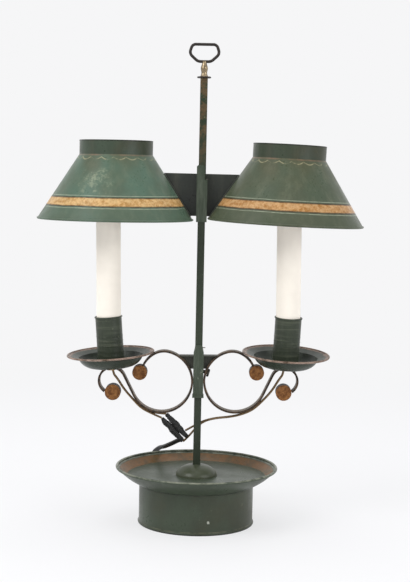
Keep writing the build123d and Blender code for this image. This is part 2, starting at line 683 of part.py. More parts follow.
def lampholder():
    """A seat disc on the nipple, a bent bracket up one side and the bulb socket at its top."""
    x, foot = candle_axis()
    inner = CANDLE_RADIUS - CANDLE_WALL - LOOSE_GAP
    socket_low = CANDLE_TOP - SOCKET_HEIGHT
    seat = pan_place() * Pos(0, 0, seat_level()) * extrude(Circle(CANDLE_RADIUS - CUP_WALL), SEAT_THICK)
    bracket = Pos(x - inner + BRACKET_THICK, 0, foot - SEAT_THICK) * Box(
        BRACKET_THICK, BRACKET_WIDTH, socket_low - foot + 2 * SEAT_THICK, align=(Align.CENTER, Align.CENTER, Align.MIN)
    )
    shell = Pos(x, 0, 0) * tube(inner, BULB_CAP_RADIUS + LOOSE_GAP, socket_low, CANDLE_TOP)
    floor = Pos(x, 0, 0) * solid_rod(inner, socket_low, CANDLE_TOP - BULB_CAP_HEIGHT)
    bore = pan_place() * Pos(0, 0, seat_level()) * Cylinder(NIPPLE_BORE, 4 * SEAT_THICK)
    return (seat - bore) + bracket + shell + floor


def bulb_cap():
    x, _ = candle_axis()
    low = CANDLE_TOP - BULB_CAP_HEIGHT
    return Pos(x, 0, 0) * solid_rod(BULB_CAP_RADIUS, low, CANDLE_TOP)


def bulb_glass():
    """A candle bulb blown to a tip, standing on its cap."""
    x, _ = candle_axis()
    side = Spline(
        (BULB_NECK, 0),
        *[(BULB_RADIUS * wide, BULB_HEIGHT * high) for wide, high in BULB_SWELL],
        (0, BULB_HEIGHT),
    )
    outline = Polyline(side @ 1, (0, 0), side @ 0)
    return Pos(x, 0, CANDLE_TOP) * spun(make_face(Curve() + [side, outline]))


# ---------------------------------------------------------------- leads, splices and flex


def soft_path(points):
    """Straight runs joined by arcs as large as the runs allow, and the arcs' radii."""
    corners = [Vector(*point) for point in points]
    radii = []
    for before, corner, after in zip(corners, corners[1:], corners[2:]):
        shorter = min((corner - before).length, (after - corner).length)
        turn = (corner - before).get_angle(after - corner)
        radii.append(0.45 * shorter / math.tan(math.radians(turn) / 2))
    return FilletPolyline(*corners, radius=radii), radii


def swept_tube(name, points, radius):
    path, radii = soft_path(points)
    start = Plane(origin=path @ 0, z_dir=path % 0)
    solid = sweep(start * Circle(radius), path)
    whole = math.pi * radius**2 * path.length
    print(f"{name}: length {path.length:.1f}, volume share {solid.volume / whole:.4f}, "
          f"least radius {min(radii):.1f} of {len(radii)}")
    return solid





def lead_start(side):
    """The first points of a lead: down inside the nipple and out under the strip."""
    seat = pan_place()
    rises = [seat.z_dir * level for level in (seat_level() - SEAT_THICK, -STRIP_THICK - LEAD_DROP)]
    places = [seat.origin + rise.rotate(Axis.X, PAN_TIPS[side]) for rise in rises]
    return [(side * place.X, place.Y, place.Z) for place in places]


def around_ring(side, degrees):
    """A point just outside a ring, for a lead that lies against it."""
    x, z = on_circle(RING_X, ARM_LEVEL, RING_RADIUS + STRIP_THICK / 2 + CORE_PITCH, degrees)
    return (side * x, 0, z)


def splice_line():
    """Upper and lower end of the line between the two splices, and the way across them."""
    top = Vector(-37.4, 3.0, 118.0)
    along = Vector(23.4, 3.0, -26.4).normalized()
    return top, top + along * SPLICE_LENGTH, along, along.cross(Vector(0, 1, 0)).normalized()


def splice_ends(end):
    """Where the cores go in, 0 at the upper and 1 at the lower end: upper splice, lower splice."""
    top, low, along, across = splice_line()
    aside = across * (SPLICE_RADIUS + LOOSE_GAP)
    if end == 0:
        return top - along * CORE_END_GAP + aside, top - along * CORE_END_GAP - aside
    beside = across * (2 * SPLICE_RADIUS + 2 * LOOSE_GAP) - along * (2 * SPLICE_RADIUS)
    return low + beside, low + along * CORE_END_GAP * 1.5 - aside


def left_lead():
    upper, lower = splice_ends(0)
    route = lead_start(-1) + [
        (-89.0, 0, 160.5),
        (-82.0, 0, 149.0),
        around_ring(-1, -33),
        around_ring(-1, -53),
        around_ring(-1, -72),
    ]
    return pair_of_cores("left_lead", route, [[upper], [lower]])


def right_lead():
    upper, lower = splice_ends(1)
    route = lead_start(1) + [
        (89.0, 0, 160.0),
        (81.5, 0, 147.5),
        around_ring(1, -35),
        around_ring(1, -58),
        (47.0, 1.0, 120.6),
        (34.0, 4.5, 117.4),
        (20.0, 8.4, 115.6),
        (6.0, 10.0, 111.8),
    ]
    first = [(-4.5, 10.0, 106.4), upper]
    second = [(-4.0, 9.4, 102.6), (-10.0, 8.4, 95.0), lower]
    return pair_of_cores("right_lead", route, [first, second])


def pair_of_cores(name, route, tails):
    """Two cores side by side in Y along one route, each with a few last points of its own."""
    cores = []
    for step, tail in zip((1, -1), tails):
        beside = [(x, y + step * CORE_PITCH / 2, z) for x, y, z in route]
        cores.append(swept_tube(name, beside + [tuple(point) for point in tail], CORE_RADIUS))
    return Compound(children=cores)


def splices():
    """Two taped splices side by side, thick in the middle and drawn in at their ends."""
    top, low, along, across = splice_line()
    half = SPLICE_LENGTH / 2
    side = ThreePointArc((SPLICE_END_RADIUS, -half), (SPLICE_RADIUS, 0), (SPLICE_END_RADIUS, half))
    outline = Polyline(side @ 1, (0, half), (0, -half), side @ 0)
    spindle = spun(make_face(Curve() + [side, outline]))
    aside = across * (SPLICE_RADIUS + LOOSE_GAP)
    return Compound(children=[Plane(origin=(top + low) * 0.5 + step * aside, z_dir=along) * spindle
                              for step in (-1, 1)])


def flex_route():
    """From the splices over the back of the tray, down to the table and into the switch."""
    switch_x, switch_y = SWITCH_CENTRE
    return [
        (-16.8, 9.8, 91.0),
        (-21.5, 20.0, 87.4),
        (-28.4, 33.5, 81.2),
        (-34.4, 48.0, 75.8),
        (-38.8, 62.5, 71.2),
        (-43.0, 77.4, 67.8),
        (-50.6, 89.6, 60.0),
        (-55.8, 96.8, 46.4),
        (-57.8, 101.4, 31.0),
        (-58.6, 108.6, 15.9),
        (-58.9, 121.0, 5.6),
        (-58.8, 137.0, 3.0),
        (-58.1, 151.0, 5.6),
        (-52.7, 160.7, 8.3),
        (-43.6, switch_y, SWITCH_ENTRY_Z),
        (switch_x - SWITCH_LENGTH / 2, switch_y, SWITCH_ENTRY_Z),
    ]


def coil_size():
    width = 2 * FLEX_RADIUS * COIL_COLUMNS
    height = 2 * FLEX_RADIUS * COIL_ROWS
    return COIL_TURN_RADIUS - width / 2, COIL_TURN_RADIUS + width / 2, height


def tail_route():
    """From the switch round to the outside of the coil."""
    switch_x, switch_y = SWITCH_CENTRE
    return [
        (switch_x + SWITCH_LENGTH / 2, switch_y, SWITCH_ENTRY_Z),
        (35.7, switch_y, SWITCH_ENTRY_Z),
        (44.8, 160.7, 8.3),
        (50.2, 151.2, 5.6),
        (50.6, 138.0, 3.1),
        (48.6, 124.0, 2.9),
        (47.0, 113.0, 3.0),
    ]


def plug_route():
    """From the plug's back end round to the top of the coil."""
    coil_x, coil_y = COIL_CENTRE
    _, _, height = coil_size()
    plug_x, plug_y = coil_x + PLUG_OFFSET[0], coil_y + PLUG_OFFSET[1]
    level = plug_level()
    return [
        (plug_x - PLUG_LENGTH / 2, plug_y, level),
        (plug_x - PLUG_LENGTH / 2 - 11.0, plug_y, level),
        (coil_x - 28.4, coil_y + 6.5, level - 1.4),
        (coil_x - 33.2, coil_y - 3.2, level - 2.8),
        (coil_x - 32.2, coil_y - 14.1, height + FLEX_RADIUS + CLEAR_GAP),
        (coil_x - 26.4, coil_y - 23.6, height + FLEX_RADIUS + CLEAR_GAP),
    ]


def plug_level():
    _, _, height = coil_size()
    return height + CLEAR_GAP + PLUG_THICK / 2


def flex():
    return swept_tube("flex", flex_route(), FLEX_RADIUS)


def flex_ends():
    tail = swept_tube("flex_ends", tail_route(), FLEX_RADIUS) - flex_coil()
    return Compound(children=[tail, swept_tube("flex_ends", plug_route(), FLEX_RADIUS)])


def flex_coil():
    """The outer shape of the wound turns."""
    inner, outer, height = coil_size()
    ring = tube(outer, inner, 0, height)
    ring = fillet(ring.edges(), COIL_EDGE)
    coil_x, coil_y = COIL_CENTRE
    return Pos(coil_x, coil_y, 0) * ring


def coil_tie():
    """A strap round the turns at one side of the coil."""
    inner, outer, height = coil_size()
    coil_x, coil_y = COIL_CENTRE
    wide = outer - inner + 2 * TIE_THICK
    tall = height + TIE_THICK
    band = Pos(coil_x, coil_y - (inner + outer) / 2, tall / 2) * Box(TIE_WIDTH, wide, tall)
    return band - flex_coil()


def switch_case():
    """An in-line switch case with rounded sides, a well for the rocker and a cord entry at each end."""
    x, y = SWITCH_CENTRE
    case = Pos(x, y, 0) * extrude(RectangleRounded(SWITCH_LENGTH, SWITCH_WIDTH, SWITCH_CORNER), SWITCH_HEIGHT)
    case = fillet(case.edges().group_by(Axis.Z)[-1], SWITCH_EDGE)
    well = Pos(x, y, SWITCH_HEIGHT) * Box(ROCKER_LENGTH + 2 * ROCKER_GAP, ROCKER_WIDTH + 2 * LOOSE_GAP, SWITCH_HEIGHT)
    pivot = Pos(x, y, rocker_axis_z()) * Rot(90, 0, 0) * Cylinder(
        ROCKER_PIN_RADIUS + RUNNING_GAP, ROCKER_WIDTH + 2 * LOOSE_GAP + 2 * ROCKER_PIN_RADIUS
    )
    return case - well - pivot


def rocker_axis_z():
    return SWITCH_HEIGHT - ROCKER_PIN_DROP


def switch_rocker():
    """A rocker with a dished top, on a cross pin held in the case."""
    x, y = SWITCH_CENTRE
    top = SWITCH_HEIGHT + ROCKER_RISE
    low = SWITCH_HEIGHT / 2 + 3 * LOOSE_GAP
    half = ROCKER_LENGTH / 2
    foot = half * ROCKER_TAPER
    shape = make_face(
        Polyline((-half, top), (-foot, low), (foot, low), (half, top), (0, top - ROCKER_RISE), close=True)
    )
    inside = Pos(0, 0, rocker_axis_z()) * Rot(90, 0, 0) * Cylinder(half - LOOSE_GAP, ROCKER_WIDTH)
    body = slab(shape, ROCKER_WIDTH)
    wings = slab(Pos(0, top) * Rectangle(ROCKER_LENGTH, 2 * (top - rocker_axis_z())), ROCKER_WIDTH)
    body = (body & inside) + (body & wings & slab(Pos(0, rocker_axis_z()) * Circle(half + ROCKER_RISE), ROCKER_WIDTH))
    pin = Pos(0, 0, rocker_axis_z()) * Rot(90, 0, 0) * Cylinder(
        ROCKER_PIN_RADIUS, ROCKER_WIDTH + 2 * LOOSE_GAP + ROCKER_PIN_RADIUS
    )
    return Pos(x, y, 0) * (body + pin)


def plug_body():
    """A flat two-pin plug lying on the coil, its pins to the right."""
    coil_x, coil_y = COIL_CENTRE
    _, _, height = coil_size()
    outline = make_face(
        Polyline(
            (-PLUG_LENGTH / 2, -PLUG_NECK / 2),
            (0, -PLUG_WIDTH / 2),
            (PLUG_LENGTH / 2, -PLUG_WIDTH / 2),
            (PLUG_LENGTH / 2, PLUG_WIDTH / 2),
            (0, PLUG_WIDTH / 2),
            (-PLUG_LENGTH / 2, PLUG_NECK / 2),
            close=True,
        )
    )
    body = extrude(outline, PLUG_THICK)
    body = fillet(body.edges().filter_by(Axis.Z), PLUG_CORNER)
    body = fillet(body.edges().group_by(Axis.Z)[-1], PLUG_EDGE)
    return Pos(coil_x + PLUG_OFFSET[0], coil_y + PLUG_OFFSET[1], height + CLEAR_GAP) * body


def plug_pins():
    coil_x, coil_y = COIL_CENTRE
    face_x = coil_x + PLUG_OFFSET[0] + PLUG_LENGTH / 2
    middle_y = coil_y + PLUG_OFFSET[1]
    pin = extrude(Circle(PIN_RADIUS), PIN_LENGTH)
    pin = fillet(pin.edges().group_by(Axis.Z)[-1], PIN_TIP)
    places = [Plane(origin=(face_x, middle_y + side * PIN_PITCH / 2, plug_level()), z_dir=(1, 0, 0))
              for side in (-1, 1)]
    return Compound(children=[place * pin for place in places])


# ---------------------------------------------------------------- assembly


def arm_pieces():
    """Every piece that comes once on each arm, built on the right and set level with the tilt."""
    pieces = {}
    for side, name in ((-1, "left"), (1, "right")):
        on_pan = {"pan": pan(), "cup": cup(), "nipple": nipple(), "locknut": locknut()}
        arm = {key: pan_place() * shape for key, shape in on_pan.items()}
        arm["lampholder"] = lampholder()
        arm["candle_sleeve"] = candle_sleeve()
        arm["bulb_cap"] = bulb_cap()
        arm["bulb_glass"] = bulb_glass()
        arm = {key: tipped(shape, side) for key, shape in arm.items()}
        arm["scroll"] = scroll(side)
        arm["gusset"] = gusset()
        for key, place in roundel_places().items():
            arm[key] = roundel(*place)
        arm["nipple"] -= arm["scroll"]
        if side > 0:
            arm["scroll"] -= ring_screw_hole()
        for key, shape in arm.items():
            placed = shape if side > 0 else mirrored(shape)
            pieces[f"{name}_{key}"] = tilted(placed, ARMS_TILT, 0, ARM_LEVEL)
    for name in ("left_gusset", "right_gusset", "left_scroll", "right_scroll"):
        pieces[name] -= sleeve_bulk(ARM_SLEEVE_HALF)
    return pieces


def all_pieces():
    pieces = {
        "base_drum": base_drum(),
        "base_plate": base_plate(),
        "base_ballast": base_ballast(),
        "tray": tray(),
        "stem_dome": stem_dome(),
        "stem": stem(),
        "stem_washer": stem_washer(),
        "stem_nut": stem_nut(),
        "finial_disc": finial_disc(),
        "finial_baluster": finial_baluster(),
        "finial_ring": finial_ring(),
        "shade_sleeve": shade_sleeve(),
        "shade_plate": shade_plate(),
        "shade_spring": clamp_spring(SHADE_SLEEVE_BOTTOM + 4, SHADE_SLEEVE_TOP + SHEET, SHADE_SLEEVE_HALF + 1),
        "shade_screw": shade_screw(),
        "arm_sleeve": arm_sleeve(),
        "arm_screw": arm_screw(),
        "splices": tilted(splices(), ARMS_TILT, 0, ARM_LEVEL),
        "flex": flex(),
        "flex_ends": flex_ends(),
        "left_lead": tilted(left_lead(), ARMS_TILT, 0, ARM_LEVEL),
        "right_lead": tilted(right_lead(), ARMS_TILT, 0, ARM_LEVEL),
        "flex_coil": flex_coil(),
        "coil_tie": coil_tie(),
        "switch_case": switch_case(),
        "switch_rocker": switch_rocker(),
        "plug_body": plug_body(),
        "plug_pins": plug_pins(),
    }
    hook_z = ARM_SLEEVE_TOP - SLEEVE_SHOULDER / 4
    pieces["arm_spring"] = clamp_spring(ARM_SLEEVE_BOTTOM + SLEEVE_LIP_HEIGHT, hook_z, ARM_SLEEVE_HALF + SPRING_HOOK)
    for side, name in ((-1, "left"), (1, "right")):
        pieces[name + "_shade"] = placed_shade(shade_shell(), side)
        pieces[name + "_shade_collar"] = placed_shade(shade_collar(), side)
    pieces.update(arm_pieces())
    return pieces


os.makedirs("parts", exist_ok=True)
for node, shape in all_pieces().items():
    export_step(shape, f"parts/{node}.step")
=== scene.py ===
import math

import bpy
from mathutils import Matrix, Vector, noise


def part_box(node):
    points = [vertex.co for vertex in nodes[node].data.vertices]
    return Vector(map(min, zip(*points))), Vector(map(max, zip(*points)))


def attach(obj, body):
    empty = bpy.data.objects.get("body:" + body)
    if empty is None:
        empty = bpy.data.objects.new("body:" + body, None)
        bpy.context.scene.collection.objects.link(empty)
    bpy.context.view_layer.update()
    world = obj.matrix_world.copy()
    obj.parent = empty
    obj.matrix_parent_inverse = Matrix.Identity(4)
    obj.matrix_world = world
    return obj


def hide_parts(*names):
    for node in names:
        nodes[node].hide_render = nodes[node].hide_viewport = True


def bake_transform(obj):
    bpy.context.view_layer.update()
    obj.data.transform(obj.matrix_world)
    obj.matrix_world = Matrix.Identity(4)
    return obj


bl_info = {
    "name": "Bouillotte Lamp",
    "version": (1, 0, 0),
    "blender": (4, 5, 0),
    "location": "View3D > Sidebar > Lamp",
    "description": "Painted sheet-iron lamp with two scroll arms and a pair of conical shades",
    "category": "Object",
}

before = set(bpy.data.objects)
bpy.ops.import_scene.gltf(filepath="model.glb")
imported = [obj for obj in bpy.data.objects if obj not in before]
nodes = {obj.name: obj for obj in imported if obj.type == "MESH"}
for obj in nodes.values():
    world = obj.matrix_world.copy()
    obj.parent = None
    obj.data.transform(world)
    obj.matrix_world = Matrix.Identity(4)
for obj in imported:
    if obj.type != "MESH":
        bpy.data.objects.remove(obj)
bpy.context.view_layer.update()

MM = 0.001
SIDES = ("left", "right")


# ---------------- places and colours


def middle(node):
    low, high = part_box(node)
    return (Vector(low) + Vector(high)) / 2


def mm(*values):
    return Vector([value * MM for value in values])


def srgb(*levels):
    """A display colour, three levels from 0 to 255, as the linear colour that shaders take."""
    shares = [level / 255 for level in levels]
    return tuple(((share + 0.055) / 1.055) ** 2.4 if share > 0.04045 else share / 12.92 for share in shares)


def tinted(base, factor, towards=(0, 0, 0)):
    """A colour moved by a share of the way towards another one, or towards black."""
    return tuple(b * (1 - factor) + t * factor for b, t in zip(base, towards))


BLACK = (0, 0, 0)
WHITE = (1, 1, 1)
PALE_GOLD = (1, 0.95, 0.7)


# ---------------- settings


def colour(name, description, default):
    return bpy.props.FloatVectorProperty(
        name=name, description=description, default=default, size=3, min=0.0, max=1.0, subtype="COLOR"
    )


def length(name, description, default):
    return bpy.props.FloatProperty(
        name=name, description=description, default=default, min=0.0, unit="LENGTH"
    )


def angle(name, description, default):
    return bpy.props.FloatProperty(
        name=name, description=description, default=math.radians(default), subtype="ANGLE", unit="ROTATION"
    )


class LampPaintSettings(bpy.types.PropertyGroup):
    shade_left: colour("Left shade", "Paint of the left shade", srgb(72, 100, 82))
    shade_right: colour("Right shade", "Paint of the right shade", srgb(62, 76, 54))
    base: colour("Base", "Paint of the drum and the tray", srgb(56, 68, 50))
    arms: colour("Arms", "Paint of pans and cups", srgb(46, 56, 43))
    iron: colour("Iron", "Bare worn metal of the scrolls", srgb(112, 96, 78))
    stem: colour("Stem", "Paint of the stem", srgb(34, 48, 26))
    plate: colour("Plate", "Paint of the plate behind the shades", srgb(38, 43, 38))
    gilt_left: colour("Left gilding", "Band of the left shade", srgb(196, 150, 82))
    gilt_right: colour("Right gilding", "Band of the right shade", srgb(176, 122, 54))
    gilt_tray: colour("Tray gilding", "Band inside the tray's rim", srgb(126, 88, 52))
    rim: colour("Rim", "Worn rims of the pans", srgb(124, 90, 64))
    button: colour("Buttons", "Faces of the scroll buttons", srgb(122, 78, 44))
    candle: colour("Candle", "Candle sleeves", srgb(255, 247, 234))


class LampCordSettings(bpy.types.PropertyGroup):
    width: length("Flex width", "Width of the flat twin flex", 5.4 * MM)
    thickness: length("Flex thickness", "Thickness of the flat twin flex", 3.3 * MM)
    turned: angle("Turned", "How far the flex is turned about its own line where it hangs", -45.0)
    core: length("Core", "Diameter of one core of a lead", 2.3 * MM)
    pitch: length("Pitch", "From one turn of the put-away coil to the next", 5.6 * MM)
    rows: bpy.props.IntProperty(
        name="Rows", description="Turns in each column of the put-away coil", default=3, min=1
    )
    lumps: length("Lumps", "How far the tape round the splices swells", 1.0 * MM)
    relief: length("Strain relief", "Length of a strain relief", 24.0 * MM)


class LampStageSettings(bpy.types.PropertyGroup):
    distance: length("Distance", "From the camera to the stem", 1.512)
    height: length("Height", "Camera above the table", 0.388)
    aside: length("Aside", "Camera to the right of the stem", 0.0056)
    pitch: angle("Pitch", "Camera looking down", 5.0)
    roll: angle("Roll", "Camera turned, so that the lamp leans to the right", 1.15)
    lens: bpy.props.FloatProperty(
        name="Lens", description="Focal length, millimetres", default=85.36, min=1.0
    )
    shift: bpy.props.FloatProperty(name="Shift", description="Lens shift upwards", default=0.00395)


# ---------------- node helpers


class Net:
    """Short calls that add nodes to one node tree and link them."""

    def __init__(self, tree):
        self.tree = tree

    def node(self, kind, **settings):
        node = self.tree.nodes.new(kind)
        for key, value in settings.items():
            setattr(node, key, value)
        return node

    def put(self, socket, value):
        if isinstance(value, bpy.types.NodeSocket):
            self.tree.links.new(value, socket)
        elif value is not None:
            socket.default_value = value

    def fed(self, node, **sockets):
        """Fill inputs, each named as its socket with underscores for spaces, and give the outputs."""
        for key, value in sockets.items():
            self.put(node.inputs[key.replace("_", " ")], value)
        return node.outputs

    def group(self, tree, **sockets):
        return self.fed(self.node("ShaderNodeGroup", node_tree=tree), **sockets)

    def math(self, operation, first, second=None, clamp=False):
        node = self.node("ShaderNodeMath", operation=operation, use_clamp=clamp)
        for socket, value in zip(node.inputs, (first, second)):
            self.put(socket, value)
        return node.outputs[0]

    def plus(self, first, second):
        return self.math("ADD", first, second)

    def minus(self, first, second):
        return self.math("SUBTRACT", first, second)

    def times(self, first, second):
        return self.math("MULTIPLY", first, second)

    def rgba(self, value):
        return value if isinstance(value, bpy.types.NodeSocket) else (*value[:3], 1.0)

    def mix(self, factor, first, second):
        node = self.node("ShaderNodeMix", data_type="RGBA")
        for index, value in ((0, factor), (6, self.rgba(first)), (7, self.rgba(second))):
            self.put(node.inputs[index], value)
        return node.outputs[2]

    def laid(self, tone, over, mask, strength):
        """A tone with another colour laid over it where the mask is, as strong as given."""
        return self.mix(self.times(mask, strength), tone, over)

    def step(self, value, low, high):
        """0 below low, 1 above high, smooth between; low above high turns it round."""
        start, end = (1.0, 0.0) if low > high else (0.0, 1.0)
        node = self.node("ShaderNodeMapRange", interpolation_type="SMOOTHSTEP")
        return self.fed(node, Value=value, From_Min=min(low, high), From_Max=max(low, high),
                        To_Min=start, To_Max=end)["Result"]

    def mapped(self, place, location=(0, 0, 0), rotation=(0, 0, 0), scale=(1, 1, 1), kind="POINT"):
        node = self.node("ShaderNodeMapping", vector_type=kind)
        return self.fed(node, Vector=place, Location=location, Rotation=rotation, Scale=scale)[0]

    def noise(self, place, scale, detail=4.0, rough=0.6, stretch=None):
        if stretch:
            place = self.mapped(place, scale=stretch)
        node = self.node("ShaderNodeTexNoise")
        return self.fed(node, Vector=place, Scale=scale, Detail=detail, Roughness=rough)[0]

    def patches(self, place, scale, low, high, detail=4.0, rough=0.6, stretch=None):
        """Ragged patches: 0 where the noise is below low, 1 where it is above high."""
        return self.step(self.noise(place, scale, detail, rough, stretch), low, high)

    def flakes(self, place, scale, low, high):
        """Patches with small and sharp edges, as flaked paint has."""
        return self.patches(place, scale, low, high, 5.0, 0.7)

    def uneven(self, place, scale, size, detail=4.0, rough=0.6):
        """A small shift, up to half the size each way, that makes an edge uneven."""
        return self.times(self.minus(self.noise(place, scale, detail, rough), 0.5), size)

    def line(self, off, half):
        """1 on a line and 0 at half its width from it; off is the distance from its middle."""
        share = self.math("DIVIDE", self.math("ABSOLUTE", off), half, clamp=True)
        return self.math("SUBTRACT", 1.0, share, clamp=True)

    def split(self, vector):
        node = self.node("ShaderNodeSeparateXYZ")
        self.put(node.inputs[0], vector)
        return node.outputs

    def radius(self, axes):
        """Distance from the Z axis."""
        squares = self.plus(self.math("POWER", axes[0], 2.0), self.math("POWER", axes[1], 2.0))
        return self.math("SQRT", squares)

    def distance(self, place, point):
        node = self.node("ShaderNodeVectorMath", operation="DISTANCE")
        for socket, value in zip(node.inputs, (place, point)):
            self.put(socket, value)
        return node.outputs["Value"]

    def object_place(self):
        return self.node("ShaderNodeTexCoord").outputs["Object"]

    def normal(self):
        return self.split(self.node("ShaderNodeNewGeometry").outputs["Normal"])

    def bump(self, height, strength, distance):
        node = self.node("ShaderNodeBump")
        return self.fed(node, Height=height, Strength=strength, Distance=distance)["Normal"]


FLOAT, VECTOR, COLOR = "NodeSocketFloat", "NodeSocketVector", "NodeSocketColor"
GEOMETRY, WHOLE, MATERIAL = "NodeSocketGeometry", "NodeSocketInt", "NodeSocketMaterial"


def node_group(name, kind, inputs, outputs):
    """An empty node group: inputs are (name, socket type, default), outputs (name, socket type)."""
    tree = bpy.data.node_groups.new(name, kind)
    for label, socket_type, default in inputs:
        socket = tree.interface.new_socket(label, in_out="INPUT", socket_type=socket_type)
        if default is not None:
            socket.default_value = default
    for label, socket_type in outputs:
        tree.interface.new_socket(label, in_out="OUTPUT", socket_type=socket_type)
    net = Net(tree)
    return net, net.node("NodeGroupInput").outputs, net.node("NodeGroupOutput").inputs


def aged_paint_group():
    """Old brushed paint: cloudy tone, fine streaks, dark grime and pale scuffs, in the colour given."""
    net, given, out = node_group(
        "Aged paint", "ShaderNodeTree",
        [("Place", VECTOR, None), ("Colour", COLOR, None), ("Dark", COLOR, None), ("Pale", COLOR, None),
         ("Cloud", FLOAT, 0.5), ("Scuffs", FLOAT, 0.3), ("Streaks", FLOAT, 0.3)],
        [("Colour", COLOR), ("Roughness", FLOAT), ("Height", FLOAT)],
    )
    place = given["Place"]
    cloud = net.patches(place, 26.0, 0.34, 0.68, 5.0, 0.62)
    fine = net.noise(place, 420.0, 3.0)
    tone = net.laid(given["Colour"], given["Dark"], cloud, given["Cloud"])
    streak = net.patches(place, 30.0, 0.42, 0.74, 4.0, 0.7, stretch=(3.4, 3.4, 0.35))
    tone = net.laid(tone, given["Pale"], streak, given["Streaks"])
    grain = net.math("ADD", 0.5, net.times(net.minus(fine, 0.5), 0.34), clamp=True)
    tone = net.mix(grain, net.mix(0.2, tone, BLACK), net.mix(0.035, tone, WHITE))
    chips = net.patches(place, 150.0, 0.62, 0.68, 6.0, 0.72)
    patch = net.patches(place, 22.0, 0.46, 0.62, 3.0, 0.5)
    scuff = net.math("MULTIPLY", net.times(chips, patch), given["Scuffs"], clamp=True)
    net.put(out["Colour"], net.mix(scuff, tone, given["Pale"]))
    rough = net.plus(net.times(fine, 0.18), net.times(cloud, 0.14))
    net.put(out["Roughness"], net.plus(net.plus(rough, 0.2), net.times(scuff, 0.2)))
    net.put(out["Height"], net.plus(net.times(fine, 0.25), net.times(cloud, 0.75)))
    return net.tree


def ring_band_group():
    """Masks of a band at a height: the band itself, its dark outlines and the thin pale lines beside it."""
    net, given, out = node_group(
        "Ring band", "ShaderNodeTree",
        [("Place", VECTOR, None), ("Height", FLOAT, 0.0), ("Half width", FLOAT, 4 * MM),
         ("Edge", FLOAT, 0.4 * MM), ("Line gap", FLOAT, 2.5 * MM), ("Worn", FLOAT, 0.5)],
        [("Band", FLOAT), ("Outline", FLOAT), ("Lines", FLOAT)],
    )
    place = given["Place"]
    height = net.plus(net.split(place)[2], net.uneven(place, 45.0, 1.1 * MM, 3.0))
    past = net.minus(net.math("ABSOLUTE", net.minus(height, given["Height"])), given["Half width"])
    inside = net.math("SUBTRACT", 1.0, net.math("DIVIDE", past, given["Edge"], clamp=True), clamp=True)
    around = net.step(net.math("ABSOLUTE", net.minus(past, 0.4 * MM)), 1.05 * MM, 0.45 * MM)
    line = net.line(net.minus(past, given["Line gap"]), 0.55 * MM)
    wear = net.flakes(place, 130.0, 0.36, 0.6)
    keep = net.math("SUBTRACT", 1.0, net.times(net.minus(1.0, wear), given["Worn"]), clamp=True)
    net.put(out["Band"], net.times(inside, net.plus(0.75, net.times(keep, 0.25))))
    net.put(out["Outline"], net.times(around, keep))
    net.put(out["Lines"], net.times(line, keep))
    return net.tree


def garland_group():
    """A painted garland of small hanging loops round the Z axis, broken where it has worn off."""
    net, given, out = node_group(
        "Garland", "ShaderNodeTree",
        [("Place", VECTOR, None), ("Height", FLOAT, 0.0), ("Drop", FLOAT, 3 * MM), ("Loops", FLOAT, 20.0)],
        [("Mask", FLOAT)],
    )
    axes = net.split(given["Place"])
    turn = net.times(net.math("ARCTAN2", axes[1], axes[0]), net.times(given["Loops"], 0.5))
    sag = net.times(net.math("ABSOLUTE", net.math("SINE", turn)), given["Drop"])
    off = net.plus(net.minus(axes[2], given["Height"]), sag)
    broken = net.patches(given["Place"], 90.0, 0.42, 0.6, 4.0, 0.7)
    net.put(out["Mask"], net.times(net.line(off, 0.9 * MM), broken))
    return net.tree


GROUPS = {}
MATERIALS = {}


def make_material(name, build, metallic=0.0, roughness=0.5, **sockets):
    """A material whose build function fills colour, roughness and normal of a plain Principled shader."""
    material = bpy.data.materials.new(name)
    material.use_nodes = True
    material.node_tree.nodes.clear()
    net = Net(material.node_tree)
    shader = net.node("ShaderNodeBsdfPrincipled")
    net.put(net.node("ShaderNodeOutputMaterial").inputs["Surface"], shader.outputs[0])
    net.fed(shader, Metallic=metallic, Roughness=roughness, **sockets)
    build(net, shader.inputs)
    return material


def turned_place(net, centre, lean, tip=0.0):
    """Object coordinates with their Z along an axis that leans to the side and tips to the front."""
    turn = (math.radians(tip), math.radians(lean), 0.0)
    return net.mapped(net.object_place(), location=centre, rotation=turn, kind="TEXTURE")


# ---------------- materials

PAINT_SHINE = 0.24
DULL_SHINE = 0.12
BARE_SHINE = 0.3
THIN_GLASS = 1.12  # index of refraction that stands for a thin wall

# Neck of each shade: centre in millimetres and lean in degrees
SHADE_NECKS = {"left": ((-94.2, 0, 405.5), 0.0), "right": ((94.6, 0, 404.5), 2.1)}
# Where each shade is rubbed pale, in millimetres
SHADE_RUBS = {"left": (-112, -52, 377), "right": (150, -60, 372)}
RUB_REACH = (18 * MM, 8 * MM)
# Each collar: its paint and its pale scuffs
COLLARS = {"left": ((50, 66, 48), (112, 118, 100)), "right": ((46, 58, 38), (104, 108, 88))}
# Seat of each pan: centre in millimetres, lean and tip in degrees
PAN_SEATS = {"left": ((-96.2, 0, 172.9), -4.1, 1.8), "right": ((95.7, 0, 175.9), 2.3, 4.0)}

# Painted work on a shade, measured along its axis from the neck
GARLAND_LEVEL = -3.0 * MM
GARLAND_DROP = 2.6 * MM
GARLAND_LOOPS = 20.0
RED_LINE = (-2.2 * MM, -1.0 * MM)
BAND_LEVEL = -50.5 * MM
BAND_HALF = 4.1 * MM
BAND_EDGE = 0.5 * MM
BAND_LINE_GAP = 2.4 * MM
BROWN_RIM = (-55.0 * MM, -58.5 * MM)
COLLAR_EDGE = (13.8 * MM, 14.6 * MM)

